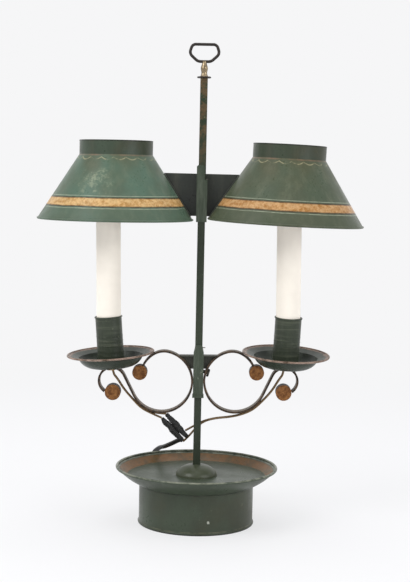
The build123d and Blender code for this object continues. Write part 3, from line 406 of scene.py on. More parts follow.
# Painted work on base and stem, in heights above the table and distances from the stem's axis
# The next two lines bound a painted highlight above the foot bead and a painted shadow along the foot.
FOOT_BEAD_HIGHLIGHT = ((2.5 * MM, 3.0 * MM), (4.2 * MM, 3.7 * MM))
FOOT_SHADOW = (2.0 * MM, 1.0 * MM)
DRUM_CHIP = (14, -61.7, 14.5)
CHIP_REACH = (1.8 * MM, 1.0 * MM)
TRAY_BAND_REACH = (76.5 * MM, 77.5 * MM)
TRAY_BAND_TOP = (60.2 * MM, 59.4 * MM)
TRAY_LIP = (59.8 * MM, 60.6 * MM)
RUSTY_FROM = (370 * MM, 440 * MM)
# Where a pan is rubbed bare, in distances from its own axis
PAN_LIP = (42.5 * MM, 45.5 * MM)
PAN_EDGE = (43.6 * MM, 44.8 * MM)


def painted(net, shader, place, base, dark, pale, cloud, scuffs, streaks):
    """Fill a shader with aged paint, and give the paint's colour for what is laid over it."""
    coat = net.group(GROUPS["paint"], Place=place, Colour=net.rgba(base), Dark=net.rgba(dark),
                     Pale=net.rgba(pale), Cloud=cloud, Scuffs=scuffs, Streaks=streaks)
    net.put(shader["Roughness"], coat["Roughness"])
    net.put(shader["Specular IOR Level"], PAINT_SHINE)
    net.put(shader["Normal"], net.bump(coat["Height"], 0.25, 0.6 * MM))
    return coat["Colour"]


def shade_material(name, base, gilt, centre, lean, rub):
    """Paint of one shade: gilt band with outlines above the rim, garland and red line under the collar."""

    def build(net, shader):
        place = turned_place(net, centre, lean)
        dark, pale = tinted(base, 0.6, srgb(62, 66, 44)), tinted(base, 0.6, srgb(150, 150, 124))
        tone = painted(net, shader, place, base, dark, pale, 0.75, 0.3, 0.25)
        tone = net.laid(tone, srgb(78, 72, 44), net.patches(place, 11.0, 0.46, 0.7, 3.0), 0.45)
        level = net.split(place)[2]
        tone = net.laid(tone, tinted(base, 0.45, srgb(78, 74, 60)), net.step(level, *BROWN_RIM), 0.5)

        speck = net.patches(place, 170.0, 0.44, 0.6, 6.0, 0.8)
        ragged = net.uneven(place, 70.0, 60 * MM, 5.0, 0.7)
        near = net.step(net.plus(net.distance(net.object_place(), rub), ragged), *RUB_REACH)
        tone = net.laid(tone, srgb(160, 166, 138), net.times(speck, near), 0.42)

        garland = net.group(GROUPS["garland"], Place=place, Height=GARLAND_LEVEL, Drop=GARLAND_DROP,
                            Loops=GARLAND_LOOPS)
        tone = net.laid(tone, srgb(176, 168, 132), garland["Mask"], 0.65)
        red = net.times(net.step(level, *RED_LINE), net.patches(place, 60.0, 0.3, 0.7))
        tone = net.laid(tone, srgb(140, 104, 84), red, 0.5)

        band = net.group(GROUPS["band"], Place=place, Height=BAND_LEVEL, Half_width=BAND_HALF, Edge=BAND_EDGE,
                         Line_gap=BAND_LINE_GAP, Worn=0.5)
        bright, brown = tinted(gilt, 0.16, PALE_GOLD), tinted(gilt, 0.5, srgb(124, 78, 32))
        gold = net.mix(net.patches(place, 200.0, 0.38, 0.66, 5.0, 0.75), bright, brown)
        tone = net.laid(tone, srgb(176, 182, 158), band["Lines"], 0.7)
        tone = net.mix(band["Band"], tone, gold)
        net.put(shader["Base Color"], net.laid(tone, srgb(58, 42, 28), band["Outline"], 0.85))

    return make_material(name, build)


def plain_paint(name, base, pale, cloud, scuffs, streaks, dark=0.4):
    def build(net, shader):
        shadow = tinted(base, dark, srgb(60, 66, 52))
        tone = painted(net, shader, net.object_place(), base, shadow, pale, cloud, scuffs, streaks)
        net.put(shader["Base Color"], tone)

    return make_material(name, build)


def collar_paint(name, base, pale, centre, lean):
    """Paint of a shade's collar, with a dark line along its upper edge."""

    def build(net, shader):
        place = turned_place(net, centre, lean)
        tone = painted(net, shader, place, base, tinted(base, 0.5, srgb(30, 34, 22)), pale, 0.8, 0.25, 0.1)
        tone = net.laid(tone, srgb(70, 64, 42), net.patches(place, 24.0, 0.45, 0.7), 0.35)
        edge = net.step(net.split(place)[2], *COLLAR_EDGE)
        net.put(shader["Base Color"], net.laid(tone, srgb(26, 28, 20), edge, 0.75))

    return make_material(name, build)


def drum_paint(name, base):
    """Satin paint with brown clouds, a painted highlight above the foot bead, broken in flaked patches, a
    painted shadow along the foot and one chip.
    """

    def build(net, shader):
        place = net.object_place()
        dark, pale = tinted(base, 0.6, srgb(34, 30, 18)), srgb(116, 122, 102)
        tone = painted(net, shader, place, base, dark, pale, 0.6, 0.3, 0.03)
        tone = net.laid(tone, srgb(70, 64, 46), net.patches(place, 16.0, 0.45, 0.7), 0.3)
        height = net.split(place)[2]
        worn = net.flakes(place, 90.0, 0.35, 0.6)
        # Painted highlight: a pale line above the foot bead, broken where the flakes are.
        line = net.times(*[net.step(height, *edge) for edge in FOOT_BEAD_HIGHLIGHT])
        tone = net.laid(tone, srgb(112, 112, 92), net.times(line, worn), 0.55)
        # Painted shadow along the foot.
        tone = net.laid(tone, srgb(20, 20, 14), net.step(height, *FOOT_SHADOW), 0.8)
        away = net.plus(net.distance(place, mm(*DRUM_CHIP)), net.uneven(place, 400.0, 4 * MM, 3.0))
        net.put(shader["Base Color"], net.mix(net.step(away, *CHIP_REACH), tone, srgb(170, 172, 160)))

    return make_material(name, build)


def ribbed_paint(name, base, pale):
    """Old paint over sheet that was drawn into faint level rings, with a painted highlight along the rings'
    crests.
    """

    def build(net, shader):
        place = net.object_place()
        tone = painted(net, shader, place, base, tinted(base, 0.5, srgb(24, 30, 20)), pale, 0.8, 0.6, 0.1)
        rings = net.noise(place, 160.0, 3.0, stretch=(0.12, 0.12, 2.2))
        # Painted highlight: pale laid where the rings' relief is highest.
        net.put(shader["Base Color"], net.laid(tone, pale, net.step(rings, 0.5, 0.72), 0.3))
        net.put(shader["Normal"], net.bump(rings, 0.5, 1.2 * MM))

    return make_material(name, build)


def tray_material(name, base, gilt):
    """Paint of the tray: a worn gilt band on the inner side of the flare, below the rim."""

    def build(net, shader):
        place = net.object_place()
        dark, pale = tinted(base, 0.5, srgb(34, 38, 26)), srgb(120, 126, 108)
        tone = painted(net, shader, place, base, dark, pale, 0.6, 0.4, 0.1)
        axes = net.split(place)
        facing_up = net.step(net.normal()[2], 0.1, 0.25)
        band = net.times(net.step(net.radius(axes), *TRAY_BAND_REACH), net.step(axes[2], *TRAY_BAND_TOP))
        worn = net.flakes(place, 70.0, 0.34, 0.56)
        brown, bright = tinted(gilt, 0.6, srgb(66, 56, 38)), tinted(gilt, 0.15, srgb(170, 130, 84))
        gold = net.mix(net.noise(place, 200.0, 4.0, 0.7), brown, bright)
        tone = net.laid(tone, gold, net.times(band, facing_up), net.plus(0.45, net.times(worn, 0.5)))
        lip = net.times(net.step(axes[2], *TRAY_LIP), facing_up)
        chipped = net.flakes(place, 120.0, 0.36, 0.6)
        net.put(shader["Base Color"], net.laid(tone, srgb(138, 140, 124), lip, net.times(chipped, 0.75)))

    return make_material(name, build)


def pan_material(name, base, rim, centre, lean, tip):
    """Paint of a drip pan, rubbed down to coppery metal round its rim."""

    def build(net, shader):
        place = turned_place(net, centre, lean, tip)
        dark, pale = tinted(base, 0.5, srgb(26, 32, 22)), srgb(104, 110, 94)
        tone = painted(net, shader, place, base, dark, pale, 0.7, 0.45, 0.1)
        reach = net.plus(net.radius(net.split(place)), net.uneven(place, 60.0, 6 * MM))
        not_below = net.step(net.normal()[2], -0.75, -0.55)
        lip = net.times(net.step(reach, *PAN_LIP), not_below)
        worn = net.flakes(place, 110.0, 0.3, 0.6)
        bare = net.mix(worn, tinted(rim, 0.8, srgb(52, 44, 34)), tinted(rim, 0.12, WHITE))
        rubbed = net.math("MAXIMUM", lip, net.step(reach, *PAN_EDGE))
        net.put(shader["Base Color"], net.laid(tone, bare, rubbed, 0.95))

    return make_material(name, build)


def stem_material(name, base):
    """Green paint low down that turns dark, mottled and rusty towards the finial."""

    def build(net, shader):
        place = net.object_place()
        dark, pale = tinted(base, 0.5, srgb(22, 26, 16)), srgb(92, 98, 76)
        tone = painted(net, shader, place, base, dark, pale, 0.8, 0.4, 0.15)
        high = net.step(net.split(place)[2], *RUSTY_FROM)
        rust = net.mix(net.patches(place, 110.0, 0.42, 0.6, 6.0, 0.7), srgb(34, 46, 28), srgb(88, 70, 46))
        rust = net.mix(net.flakes(place, 240.0, 0.6, 0.68), rust, srgb(130, 122, 92))
        net.put(shader["Base Color"], net.laid(tone, rust, high, 0.85))

    return make_material(name, build)


def scroll_material(name, iron):
    """Flat bar with most of its paint gone: greyish pink faces, dark edges."""

    def build(net, shader):
        place = net.object_place()
        blotch = net.patches(place, 90.0, 0.38, 0.62, 6.0, 0.7)
        fine = net.noise(place, 500.0, 3.0)
        tone = net.mix(blotch, iron, srgb(92, 78, 66))
        tone = net.laid(tone, srgb(66, 70, 58), net.patches(place, 40.0, 0.5, 0.62), 0.55)
        side = net.step(net.math("ABSOLUTE", net.normal()[1]), 0.5, 0.8)
        dark = net.mix(net.patches(place, 160.0, 0.4, 0.64, 4.0, 0.7), srgb(26, 22, 18), srgb(84, 66, 50))
        net.put(shader["Base Color"], net.laid(tone, dark, side, 0.9))
        net.put(shader["Roughness"], net.plus(0.34, net.times(fine, 0.3)))
        net.put(shader["Normal"], net.bump(net.plus(blotch, fine), 0.3, 0.4 * MM))

    return make_material(name, build, metallic=0.35, Specular_IOR_Level=BARE_SHINE)


def button_material(name, face):
    """A scroll button: gilt brown face, and painted shade, near black, on its side."""

    def build(net, shader):
        grain = net.noise(net.object_place(), 330.0, 5.0, 0.7)
        brown, bright = tinted(face, 0.55, srgb(70, 42, 22)), tinted(face, 0.2, srgb(200, 150, 90))
        gold = net.mix(net.step(grain, 0.35, 0.65), brown, bright)
        # Painted shade: the button's side, whose normal turns away from Y, is made near black.
        side = net.step(net.math("ABSOLUTE", net.normal()[1]), 0.75, 0.45)
        net.put(shader["Base Color"], net.mix(side, gold, srgb(22, 19, 16)))
        net.put(shader["Roughness"], net.plus(0.35, net.times(grain, 0.25)))
        net.put(shader["Normal"], net.bump(grain, 0.35, 0.5 * MM))

    return make_material(name, build, Specular_IOR_Level=DULL_SHINE)


def metal_material(name, base, roughness, metallic, dirt):
    def build(net, shader):
        place = net.object_place()
        cloud = net.patches(place, 160.0, 0.36, 0.66, 5.0, 0.65)
        fine = net.noise(place, 700.0, 3.0)
        net.put(shader["Base Color"], net.laid(base, tinted(base, 0.65), cloud, dirt))
        net.put(shader["Roughness"], net.plus(roughness, net.times(fine, 0.2)))
        net.put(shader["Normal"], net.bump(fine, 0.15, 0.2 * MM))

    return make_material(name, build, metallic=metallic)


def plastic_material(name, base, roughness, grain, bump):
    def build(net, shader):
        fine = net.noise(net.object_place(), grain, 3.0)
        net.put(shader["Base Color"], net.mix(fine, tinted(base, 0.12), tinted(base, 0.06, WHITE)))
        net.put(shader["Roughness"], net.plus(roughness, net.times(fine, 0.12)))
        net.put(shader["Normal"], net.bump(fine, bump, 0.2 * MM))

    return make_material(name, build, Specular_IOR_Level=DULL_SHINE)


def glass_material(name):
    def build(net, shader):
        net.put(shader["Roughness"], net.times(net.noise(net.object_place(), 200.0, 2.0, 0.5), 0.06))

    return make_material(name, build, Transmission_Weight=1.0, IOR=THIN_GLASS)


# Name, paint, pale scuffs, then how strong the clouds, scuffs and streaks are
PLAIN_PAINTS = {
    "dome": ("Dome paint", (64, 71, 50), (126, 126, 104), 0.7, 0.3, 0.05),
    "sleeve": ("Sleeve paint", (46, 60, 42), (120, 126, 112), 0.9, 1.0, 0.45),
    "gusset": ("Gusset paint", (44, 44, 34), (96, 90, 74), 0.8, 0.6, 0.2),
}
# Name, colour, roughness, how metallic, how dirty
METALS = {
    "ring": ("Darkened ring", (44, 38, 34), 0.4, 0.5, 0.5),
    "brass": ("Aged brass", (170, 138, 92), 0.3, 1.0, 0.5),
    "baluster": ("Worn pale brass", (150, 134, 108), 0.25, 0.9, 0.8),
    "steel": ("Plain steel", (120, 116, 108), 0.35, 1.0, 0.5),
    "screw": ("Dark screw steel", (70, 68, 62), 0.4, 0.8, 0.5),
    "ballast": ("Cast ballast", (60, 60, 58), 0.6, 0.7, 0.5),
}
# Name, colour, roughness, scale of the grain, strength of its bump
PLASTICS = {
    "socket": ("Socket resin", (52, 48, 44), 0.5, 400.0, 0.1),
    "lead": ("Golden lead", (122, 96, 60), 0.25, 90.0, 0.05),
    "tape": ("Black tape", (14, 14, 13), 0.4, 260.0, 0.6),
    "flex": ("Black flex", (13, 14, 15), 0.3, 300.0, 0.1),
    "case": ("Black case", (20, 20, 20), 0.32, 500.0, 0.1),
}


class LAMP_OT_finishes(bpy.types.Operator):
    """Mix every paint, metal and plastic of the lamp"""

    bl_idname = "lamp.finishes"
    bl_label = "Finishes"

    def execute(self, context):
        settings = context.scene.lamp_paint
        paint = {key: tuple(getattr(settings, key)) for key in LampPaintSettings.__annotations__}
        GROUPS["paint"] = aged_paint_group()
        GROUPS["band"] = ring_band_group()
        GROUPS["garland"] = garland_group()
        for side in SIDES:
            label = side.capitalize()
            centre, lean = SHADE_NECKS[side]
            MATERIALS[side + "_shade"] = shade_material(
                f"{label} shade paint", paint["shade_" + side], paint["gilt_" + side], mm(*centre), lean,
                mm(*SHADE_RUBS[side]))
            tones = [srgb(*tone) for tone in COLLARS[side]]
            MATERIALS[side + "_collar"] = collar_paint(f"{label} collar paint", *tones, mm(*centre), lean)
            centre, lean, tip = PAN_SEATS[side]
            MATERIALS[side + "_pan"] = pan_material(
                f"{label} pan paint", paint["arms"], paint["rim"], mm(*centre), lean, tip)
        MATERIALS["tray"] = tray_material("Tray paint", paint["base"], paint["gilt_tray"])
        MATERIALS["cup"] = ribbed_paint("Cup paint", srgb(46, 56, 38), srgb(112, 116, 98))
        MATERIALS["drum"] = drum_paint("Drum paint", paint["base"])
        MATERIALS["stem"] = stem_material("Stem paint", paint["stem"])
        MATERIALS["plate"] = plain_paint(
            "Plate paint", paint["plate"], srgb(96, 94, 80), 0.8, 0.35, 0.3, dark=0.5)
        MATERIALS["scroll"] = scroll_material("Worn scroll iron", paint["iron"])
        MATERIALS["button"] = button_material("Button gilding", paint["button"])
        MATERIALS["candle"] = plastic_material("Candle card", paint["candle"], 0.42, 60.0, 0.05)
        MATERIALS["glass"] = glass_material("Bulb glass")
        for key, (name, tone, pale, *strengths) in PLAIN_PAINTS.items():
            MATERIALS[key] = plain_paint(name, srgb(*tone), srgb(*pale), *strengths)
        for key, (name, tone, *finish) in METALS.items():
            MATERIALS[key] = metal_material(name, srgb(*tone), *finish)
        for key, (name, tone, *finish) in PLASTICS.items():
            MATERIALS[key] = plastic_material(name, srgb(*tone), *finish)
        return {"FINISHED"}


def both(*names):
    return [f"{side}_{name}" for name in names for side in SIDES]


# The CAD nodes that are carried over, by the material that they get
DRESSED = {
    "tray": ["tray"],
    "drum": ["base_drum"],
    "dome": ["stem_dome"],
    "steel": ["base_plate", "stem_washer", "stem_nut", "shade_spring", "arm_spring"],
    "ballast": ["base_ballast"],
    "stem": ["stem"],
    "ring": ["finial_ring", "finial_disc"],
    "baluster": ["finial_baluster"],
    "brass": ["plug_pins", *both("nipple", "locknut", "bulb_cap")],
    "sleeve": ["shade_sleeve", "arm_sleeve"],
    "plate": ["shade_plate"],
    "screw": ["shade_screw", "arm_screw"],
    "gusset": both("gusset"),
    "scroll": both("scroll"),
    "button": both("inner_roundel", "outer_roundel"),
    "cup": both("cup"),
    "socket": both("lampholder"),
    "candle": both("candle_sleeve"),
    "glass": both("bulb_glass"),
    "case": ["switch_case", "switch_rocker", "plug_body", "coil_tie"],
    **{side + "_shade": [side + "_shade"] for side in SIDES},
    **{side + "_collar": [side + "_shade_collar"] for side in SIDES},
    **{side + "_pan": [side + "_pan"] for side in SIDES},
}


class LAMP_OT_dressing(bpy.types.Operator):
    """Lay the finishes on the plain pieces"""

    bl_idname = "lamp.dressing"
    bl_label = "Dressing"

    def execute(self, context):
        for material, names in DRESSED.items():
            for name in names:
                mesh = nodes[name].data
                mesh.materials.clear()
                mesh.materials.append(MATERIALS[material])
        return {"FINISHED"}


# ---------------- cords


# Control points of the cords' lines, in millimetres
FLEX_ROUTE = [
    (-16.8, 9.8, 91.0), (-21.5, 20.0, 87.4), (-28.4, 33.5, 81.2), (-34.4, 48.0, 75.8), (-38.8, 62.5, 71.2),
    (-43.0, 77.4, 67.8), (-50.6, 89.6, 60.0), (-55.8, 96.8, 46.4), (-57.8, 101.4, 31.0), (-58.6, 108.6, 15.9),
    (-58.9, 121.0, 5.6), (-58.8, 137.0, 3.0), (-58.1, 151.0, 5.6), (-52.7, 160.7, 8.3), (-43.6, 166.0, 9.5),
    (-33.0, 166.0, 9.5),
]
TAIL_ROUTE = [
    (25.0, 166.0, 9.5), (35.7, 166.0, 9.5), (44.8, 160.7, 8.3), (50.2, 151.2, 5.6), (50.6, 138.0, 3.1),
    (48.6, 124.0, 2.9),
]
PLUG_ROUTE = [
    (6.0, 118.0, 29.2), (-5.0, 118.0, 29.2), (-14.4, 112.5, 27.8), (-19.2, 102.8, 26.4), (-18.2, 91.9, 25.5),
    (-12.4, 82.4, 25.5),
]
LEFT_CORES = [
    (-98.8, -1.1, 208.6), (-95.8, 0.2, 166.7), (-89.0, 0.0, 159.1), (-81.9, 0.0, 147.7), (-71.8, 0.0, 136.5),
    (-62.8, 0.0, 127.1), (-51.7, 0.0, 121.5),
]
LEFT_ENDS = [[(-34.9, 2.9, 120.4)], [(-39.9, 2.9, 115.8)]]
RIGHT_CORES = [
    (97.1, -2.5, 211.6), (95.4, 0.4, 169.8), (89.0, 0.0, 161.4), (81.7, 0.0, 148.8), (71.8, 0.0, 137.6),
    (61.1, 0.0, 127.2), (47.6, 1.0, 121.3), (34.6, 4.5, 117.9), (20.7, 8.4, 115.9), (6.7, 10.0, 111.9),
]
RIGHT_ENDS = [
    [(-3.7, 10.0, 106.3), (-13.1, 5.4, 101.6)],
    [(-3.1, 9.4, 102.5), (-9.0, 8.4, 94.9), (-15.5, 6.0, 89.1)],
]

FLEX_TURNED_UNTIL = 6  # the flex keeps its turn up to this point of its route
FLEX_FLAT_FROM = 11  # and lies flat from this one on
CORE_OFFSET = 1.2  # of each core of a lead from the lead's own line, in millimetres
CORE_ROUNDNESS = 4

SECTION_SIDES = 24
WAIST_DEPTH = 0.24  # of the groove between the two cores, as a share of the thickness
WAIST_WIDTH = 0.16  # of the same groove, as a share of the width

# The put-away coil
COIL_STEPS = 16  # points in one turn
COIL_START = 12.0  # degrees
COIL_LAST_TURN = 1.15  # how far it goes on after both columns
COLUMN_STEP = 1.03  # from one column to the next, in pitches
CROSSING_DIP = 0.2  # below the top before it crosses, in pitches
CROSSING_RISE = 0.74  # over the coil, in pitches
LEAVING_RISE = 0.56  # where it leaves the coil, in pitches
LEAVING_REACH = 1.4 * MM

RELIEF_RING_STEP = 3.5 * MM
RELIEF_STEPS = 30
RELIEF_SIDES = 24
RING_SIDES = 8

TAPE_GRAIN = 0.5 * MM  # size of the mesh's cells
TAPE_LUMPS = ((6.5, 1.1), (2.2, 0.4))  # size in millimetres and share of the swell
TAPE_WINDING = 0.5


def placed(name, data):
    """A new object in the scene that shows the data."""
    piece = bpy.data.objects.new(name, data)
    bpy.context.scene.collection.objects.link(piece)
    return piece


def curve_piece(name, kind, places):
    """A curve object with one spline through its places, in metres."""
    curve = bpy.data.curves.new(name, "CURVE")
    curve.dimensions = "3D"
    spline = curve.splines.new(kind)
    spline.points.add(len(places) - 1)
    for point, place in zip(spline.points, places):
        point.co = (*place, 1.0)
    return placed(name, curve), spline


def smooth_line(name, points, tilts=()):
    """A NURBS curve through a route of control points, in metres."""
    piece, spline = curve_piece(name, "NURBS", points)
    for point, tilt in zip(spline.points, tilts):
        point.tilt = tilt
    spline.order_u = 3
    spline.use_endpoint_u = True
    spline.resolution_u = 8
    return piece


def baked(piece):
    """The evaluated object as a plain mesh."""
    bpy.context.view_layer.update()
    graph = bpy.context.evaluated_depsgraph_get()
    return bpy.data.meshes.new_from_object(piece.evaluated_get(graph), depsgraph=graph)


def line_points(piece):
    """The points along a curve that has no thickness yet."""
    mesh = baked(piece)
    points = [vertex.co.copy() for vertex in mesh.vertices]
    bpy.data.meshes.remove(mesh)
    return points


def mesh_piece(name, mesh, material):
    """A plain, smooth mesh as a finished piece."""
    mesh.materials.clear()
    mesh.materials.append(MATERIALS[material])
    for face in mesh.polygons:
        face.use_smooth = True
    return placed(name, mesh)


def twin_section(width, thickness):
    """Closed section of a flat twin flex, a shallow figure of eight that stands on its edge."""
    points = []
    for index in range(SECTION_SIDES):
        turn = 2 * math.pi * index / SECTION_SIDES
        along = math.cos(turn) * width / 2
        dip = 1.0 - WAIST_DEPTH * math.exp(-((along / (WAIST_WIDTH * width)) ** 2))
        points.append((math.sin(turn) * thickness / 2 * dip, along, 0.0))
    section, spline = curve_piece("Flex section", "POLY", points)
    spline.use_cyclic_u = True
    return section


def flat_flex(name, points, width, thickness, tilts=()):
    """A flat twin flex along a route: its mesh and the line that it follows."""
    line = smooth_line(name + " line", points, tilts)
    path = line_points(line)
    section = twin_section(width, thickness)
    line.data.bevel_mode = "OBJECT"
    line.data.bevel_object = section
    line.data.use_fill_caps = True
    line.data.twist_mode = "Z_UP"
    mesh = baked(line)
    bpy.data.objects.remove(line)
    bpy.data.objects.remove(section)
    return mesh, path


def eased(value, stops):
    """The value's place between stops (at, result), straight from one to the next."""
    for (before, first), (after, last) in zip(stops, stops[1:]):
        if value <= after:
            return first + (last - first) * max(0.0, value - before) / (after - before)
    return stops[-1][1]


def coil_points(rows, width):
    """Clockwise turns: an outer column upwards, an inner one down, then up inside and over the top."""
    centre = middle("flex_coil")
    low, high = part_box("flex_coil")
    outer = (high[0] - low[0]) / 2 - width / 2
    inner, core = outer - width * COLUMN_STEP, outer - width * 2 * COLUMN_STEP
    bed, top = width / 2, width / 2 + rows * width
    over = high[2] + width * CROSSING_RISE
    back = rows + 0.25
    down = back + rows
    radii = [(0, outer), (rows, outer), (back, inner), (down, inner), (down + 0.25, core),
             (down + 0.92, core), (down + 1.17, outer + LEAVING_REACH)]
    heights = [(0, bed), (rows, top), (back, top), (down, bed), (down + 0.25, bed),
               (down + 0.82, top - width * CROSSING_DIP), (down + 0.93, over), (down + 1.1, over),
               (down + 1.17, high[2] + width * LEAVING_RISE)]
    swell = 1 / math.cos(math.pi / COIL_STEPS)
    points = []
    for index in range(1, int((down + COIL_LAST_TURN) * COIL_STEPS) + 1):
        turn = index / COIL_STEPS
        way = math.radians(COIL_START) - 2 * math.pi * turn
        radius = eased(turn, radii) * swell
        points.append(Vector((centre.x + radius * math.cos(way), centre.y + radius * math.sin(way),
                              eased(turn, heights))))
    return points


def relief_group():
    """Geometry nodes of a strain relief: a cone along a line, with rings that shrink with it."""
    net, given, out = node_group(
        "Strain relief", "GeometryNodeTree",
        [("Line", GEOMETRY, None), ("Rings", WHOLE, 7), ("Wide", FLOAT, 4.6 * MM),
         ("Narrow", FLOAT, 3.1 * MM), ("Ring size", FLOAT, 0.7 * MM), ("Material", MATERIAL, None)],
        [("Mesh", GEOMETRY)],
    )
    along = net.node("GeometryNodeSplineParameter").outputs["Factor"]
    taper = net.fed(net.node("ShaderNodeMapRange"), Value=along, To_Min=given["Wide"], To_Max=given["Narrow"])
    circle = net.fed(net.node("GeometryNodeCurvePrimitiveCircle"), Resolution=RELIEF_SIDES, Radius=1.0)
    fine = net.fed(net.node("GeometryNodeResampleCurve"), Curve=given["Line"], Count=RELIEF_STEPS)
    cone = net.fed(net.node("GeometryNodeCurveToMesh"), Curve=fine[0], Profile_Curve=circle[0],
                   Scale=taper["Result"], Fill_Caps=True)
    share = net.math("DIVIDE", given["Ring size"], given["Wide"])
    small = net.fed(net.node("GeometryNodeCurvePrimitiveCircle"), Resolution=RING_SIDES, Radius=share)
    ring = net.fed(net.node("GeometryNodeCurveToMesh"), Curve=circle[0], Profile_Curve=small[0])
    seats = net.fed(net.node("GeometryNodeResampleCurve"), Curve=given["Line"], Count=given["Rings"])
    tangent = net.node("GeometryNodeInputTangent").outputs[0]
    facing = net.fed(net.node("FunctionNodeAlignRotationToVector", axis="Z"), Vector=tangent)
    rings = net.fed(net.node("GeometryNodeInstanceOnPoints"), Points=seats[0], Instance=ring[0],
                    Rotation=facing[0], Scale=taper["Result"])
    real = net.fed(net.node("GeometryNodeRealizeInstances"), Geometry=rings[0])
    joined = net.node("GeometryNodeJoinGeometry")
    for part in (cone[0], real[0]):
        net.put(joined.inputs[0], part)
    coloured = net.node("GeometryNodeSetMaterial")
    net.put(out[0], net.fed(coloured, Geometry=joined.outputs[0], Material=given["Material"])[0])
    return net.tree


def strain_relief(name, tree, path, size):
    """A ribbed, tapered sleeve over the first stretch of a path, from its wide end on."""
    run, kept = 0.0, [path[0]]
    for before, after in zip(path, path[1:]):
        run += (after - before).length
        kept.append(after)
        if run > size:
            break
    piece, _ = curve_piece(name, "POLY", kept)
    modifier = piece.modifiers.new("Relief", "NODES")
    modifier.node_group = tree
    sockets = {item.name: item.identifier for item in tree.interface.items_tree if item.in_out == "INPUT"}
    modifier[sockets["Rings"]] = round(size / RELIEF_RING_STEP)
    modifier[sockets["Material"]] = MATERIALS["case"]
    mesh = baked(piece)
    bpy.data.objects.remove(piece)
    sleeve = mesh_piece(name, mesh, "case")
    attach(sleeve, "base")
    return sleeve


class LAMP_OT_cords(bpy.types.Operator):
    """Lay the flex, its coil and the leads in the arms"""

    bl_idname = "lamp.cords"
    bl_label = "Cords"

    def execute(self, context):
        cord = context.scene.lamp_cord
        relief = relief_group()
        self.flex(cord, relief)
        self.tail(cord, relief)
        self.splices(cord.lumps)
        self.leads("left", LEFT_CORES, LEFT_ENDS, cord.core)
        self.leads("right", RIGHT_CORES, RIGHT_ENDS, cord.core)
        return {"FINISHED"}

    def flex(self, cord, relief):
        """From the lower splice to the switch: turned where it hangs, and flat where it lies."""
        fall = [(0, 1.0), (FLEX_TURNED_UNTIL, 1.0), (FLEX_FLAT_FROM, 0.0)]
        tilts = [cord.turned * eased(index, fall) for index in range(len(FLEX_ROUTE))]
        route = [mm(*point) for point in FLEX_ROUTE]
        mesh, path = flat_flex("flex_run", route, cord.width, cord.thickness, tilts)
        run = mesh_piece("flex_run", mesh, "flex")
        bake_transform(run)
        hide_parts("flex")
        collar = strain_relief("switch_relief_in", relief, path[::-1], cord.relief)

    def tail(self, cord, relief):
        """From the switch through the put-away coil to the plug."""
        route = [mm(*point) for point in TAIL_ROUTE] + coil_points(cord.rows, cord.pitch)
        route += [mm(*point) for point in reversed(PLUG_ROUTE)]
        mesh, path = flat_flex("flex_tail", route, cord.width, cord.thickness)
        run = mesh_piece("flex_tail", mesh, "flex")
        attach(run, "base")
        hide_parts("flex_ends", "flex_coil")
        switch_end = strain_relief("switch_relief_out", relief, path, cord.relief)
        plug_end = strain_relief("plug_relief", relief, path[::-1], cord.relief)

    def splices(self, lumps):
        """Insulating tape wound by hand round the two joints, with lumps and ridges."""
        draft = placed("tape", nodes["splices"].data.copy())
        even = draft.modifiers.new("Even", "REMESH")
        even.mode = "VOXEL"
        even.voxel_size = TAPE_GRAIN
        mesh = baked(draft)
        bpy.data.objects.remove(draft)
        for vertex in mesh.vertices:
            at = vertex.co / MM
            swell = sum(noise.noise(at / size) * share for size, share in TAPE_LUMPS)
            slanting = Vector((at.x * 0.25 - at.z * 0.28, at.y * 0.1, 3.0)) * 2.0
            winding = abs(noise.noise(slanting)) * TAPE_WINDING
            vertex.co += vertex.normal * lumps * (0.5 + swell + winding)
        tape = mesh_piece("splice_tape", mesh, "tape")
        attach(tape, "arm_carriage")
        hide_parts("splices")

    def leads(self, side, route, ends, thick):
        """Two single cores from a nipple to the splices."""
        for step, end, name in ((CORE_OFFSET, ends[0], "upper"), (-CORE_OFFSET, ends[1], "lower")):
            points = [mm(x, y + step, z) for x, y, z in route] + [mm(*point) for point in end]
            core = smooth_line(f"{side}_{name}_core", points)
            path = line_points(core)
            core.data.bevel_depth = thick / 2
            core.data.bevel_resolution = CORE_ROUNDNESS
            core.data.use_fill_caps = True
            core.data.materials.append(MATERIALS["lead"])
            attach(core, "arm_carriage")
            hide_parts(side + "_lead")


# ---------------- stage


BACKGROUND = (246, 246, 247)
TABLE_PAINT = (246, 246, 248)
ROOM_LIGHT = (244, 246, 250)
SENSOR_HEIGHT = 36.0
TABLE_REACH = 12.0
TABLE_FADE = (0.45, 1.3)  # where the table turns into the background, in metres from the stem
TABLE_GLOW = 0.72  # share of the background in the table near the lamp
ROOM_TURN = (-0.95, -0.1)  # from the dim side, where the camera is, to the rest of the room
ROOM_DIM = 0.12
ROOM_RISE = 0.55
LIGHT_AIM = (0, 0, 0.25)
# Name, place and size in metres, power in watts
LIGHTS = (
    ("Window", (-1.5, -1.2, 1.7), 1.4, 36.0),
    ("Fill", (1.6, -1.3, 1.0), 1.2, 18.0),
    ("Top", (0.1, 0.3, 2.1), 1.5, 15.0),
)


def seen_directly(net):
    """1 for what is seen straight on, in a mirror or through glass, 0 for what only lights the lamp."""
    path = net.node("ShaderNodeLightPath").outputs
    return net.math("MAXIMUM", path["Is Camera Ray"],
                    net.math("MAXIMUM", path["Is Glossy Ray"], path["Is Transmission Ray"]))


def shader_mix(net, factor, first, second):
    node = net.node("ShaderNodeMixShader")
    for socket, value in zip(node.inputs, (factor, first, second)):
        net.put(socket, value)
    return node.outputs[0]


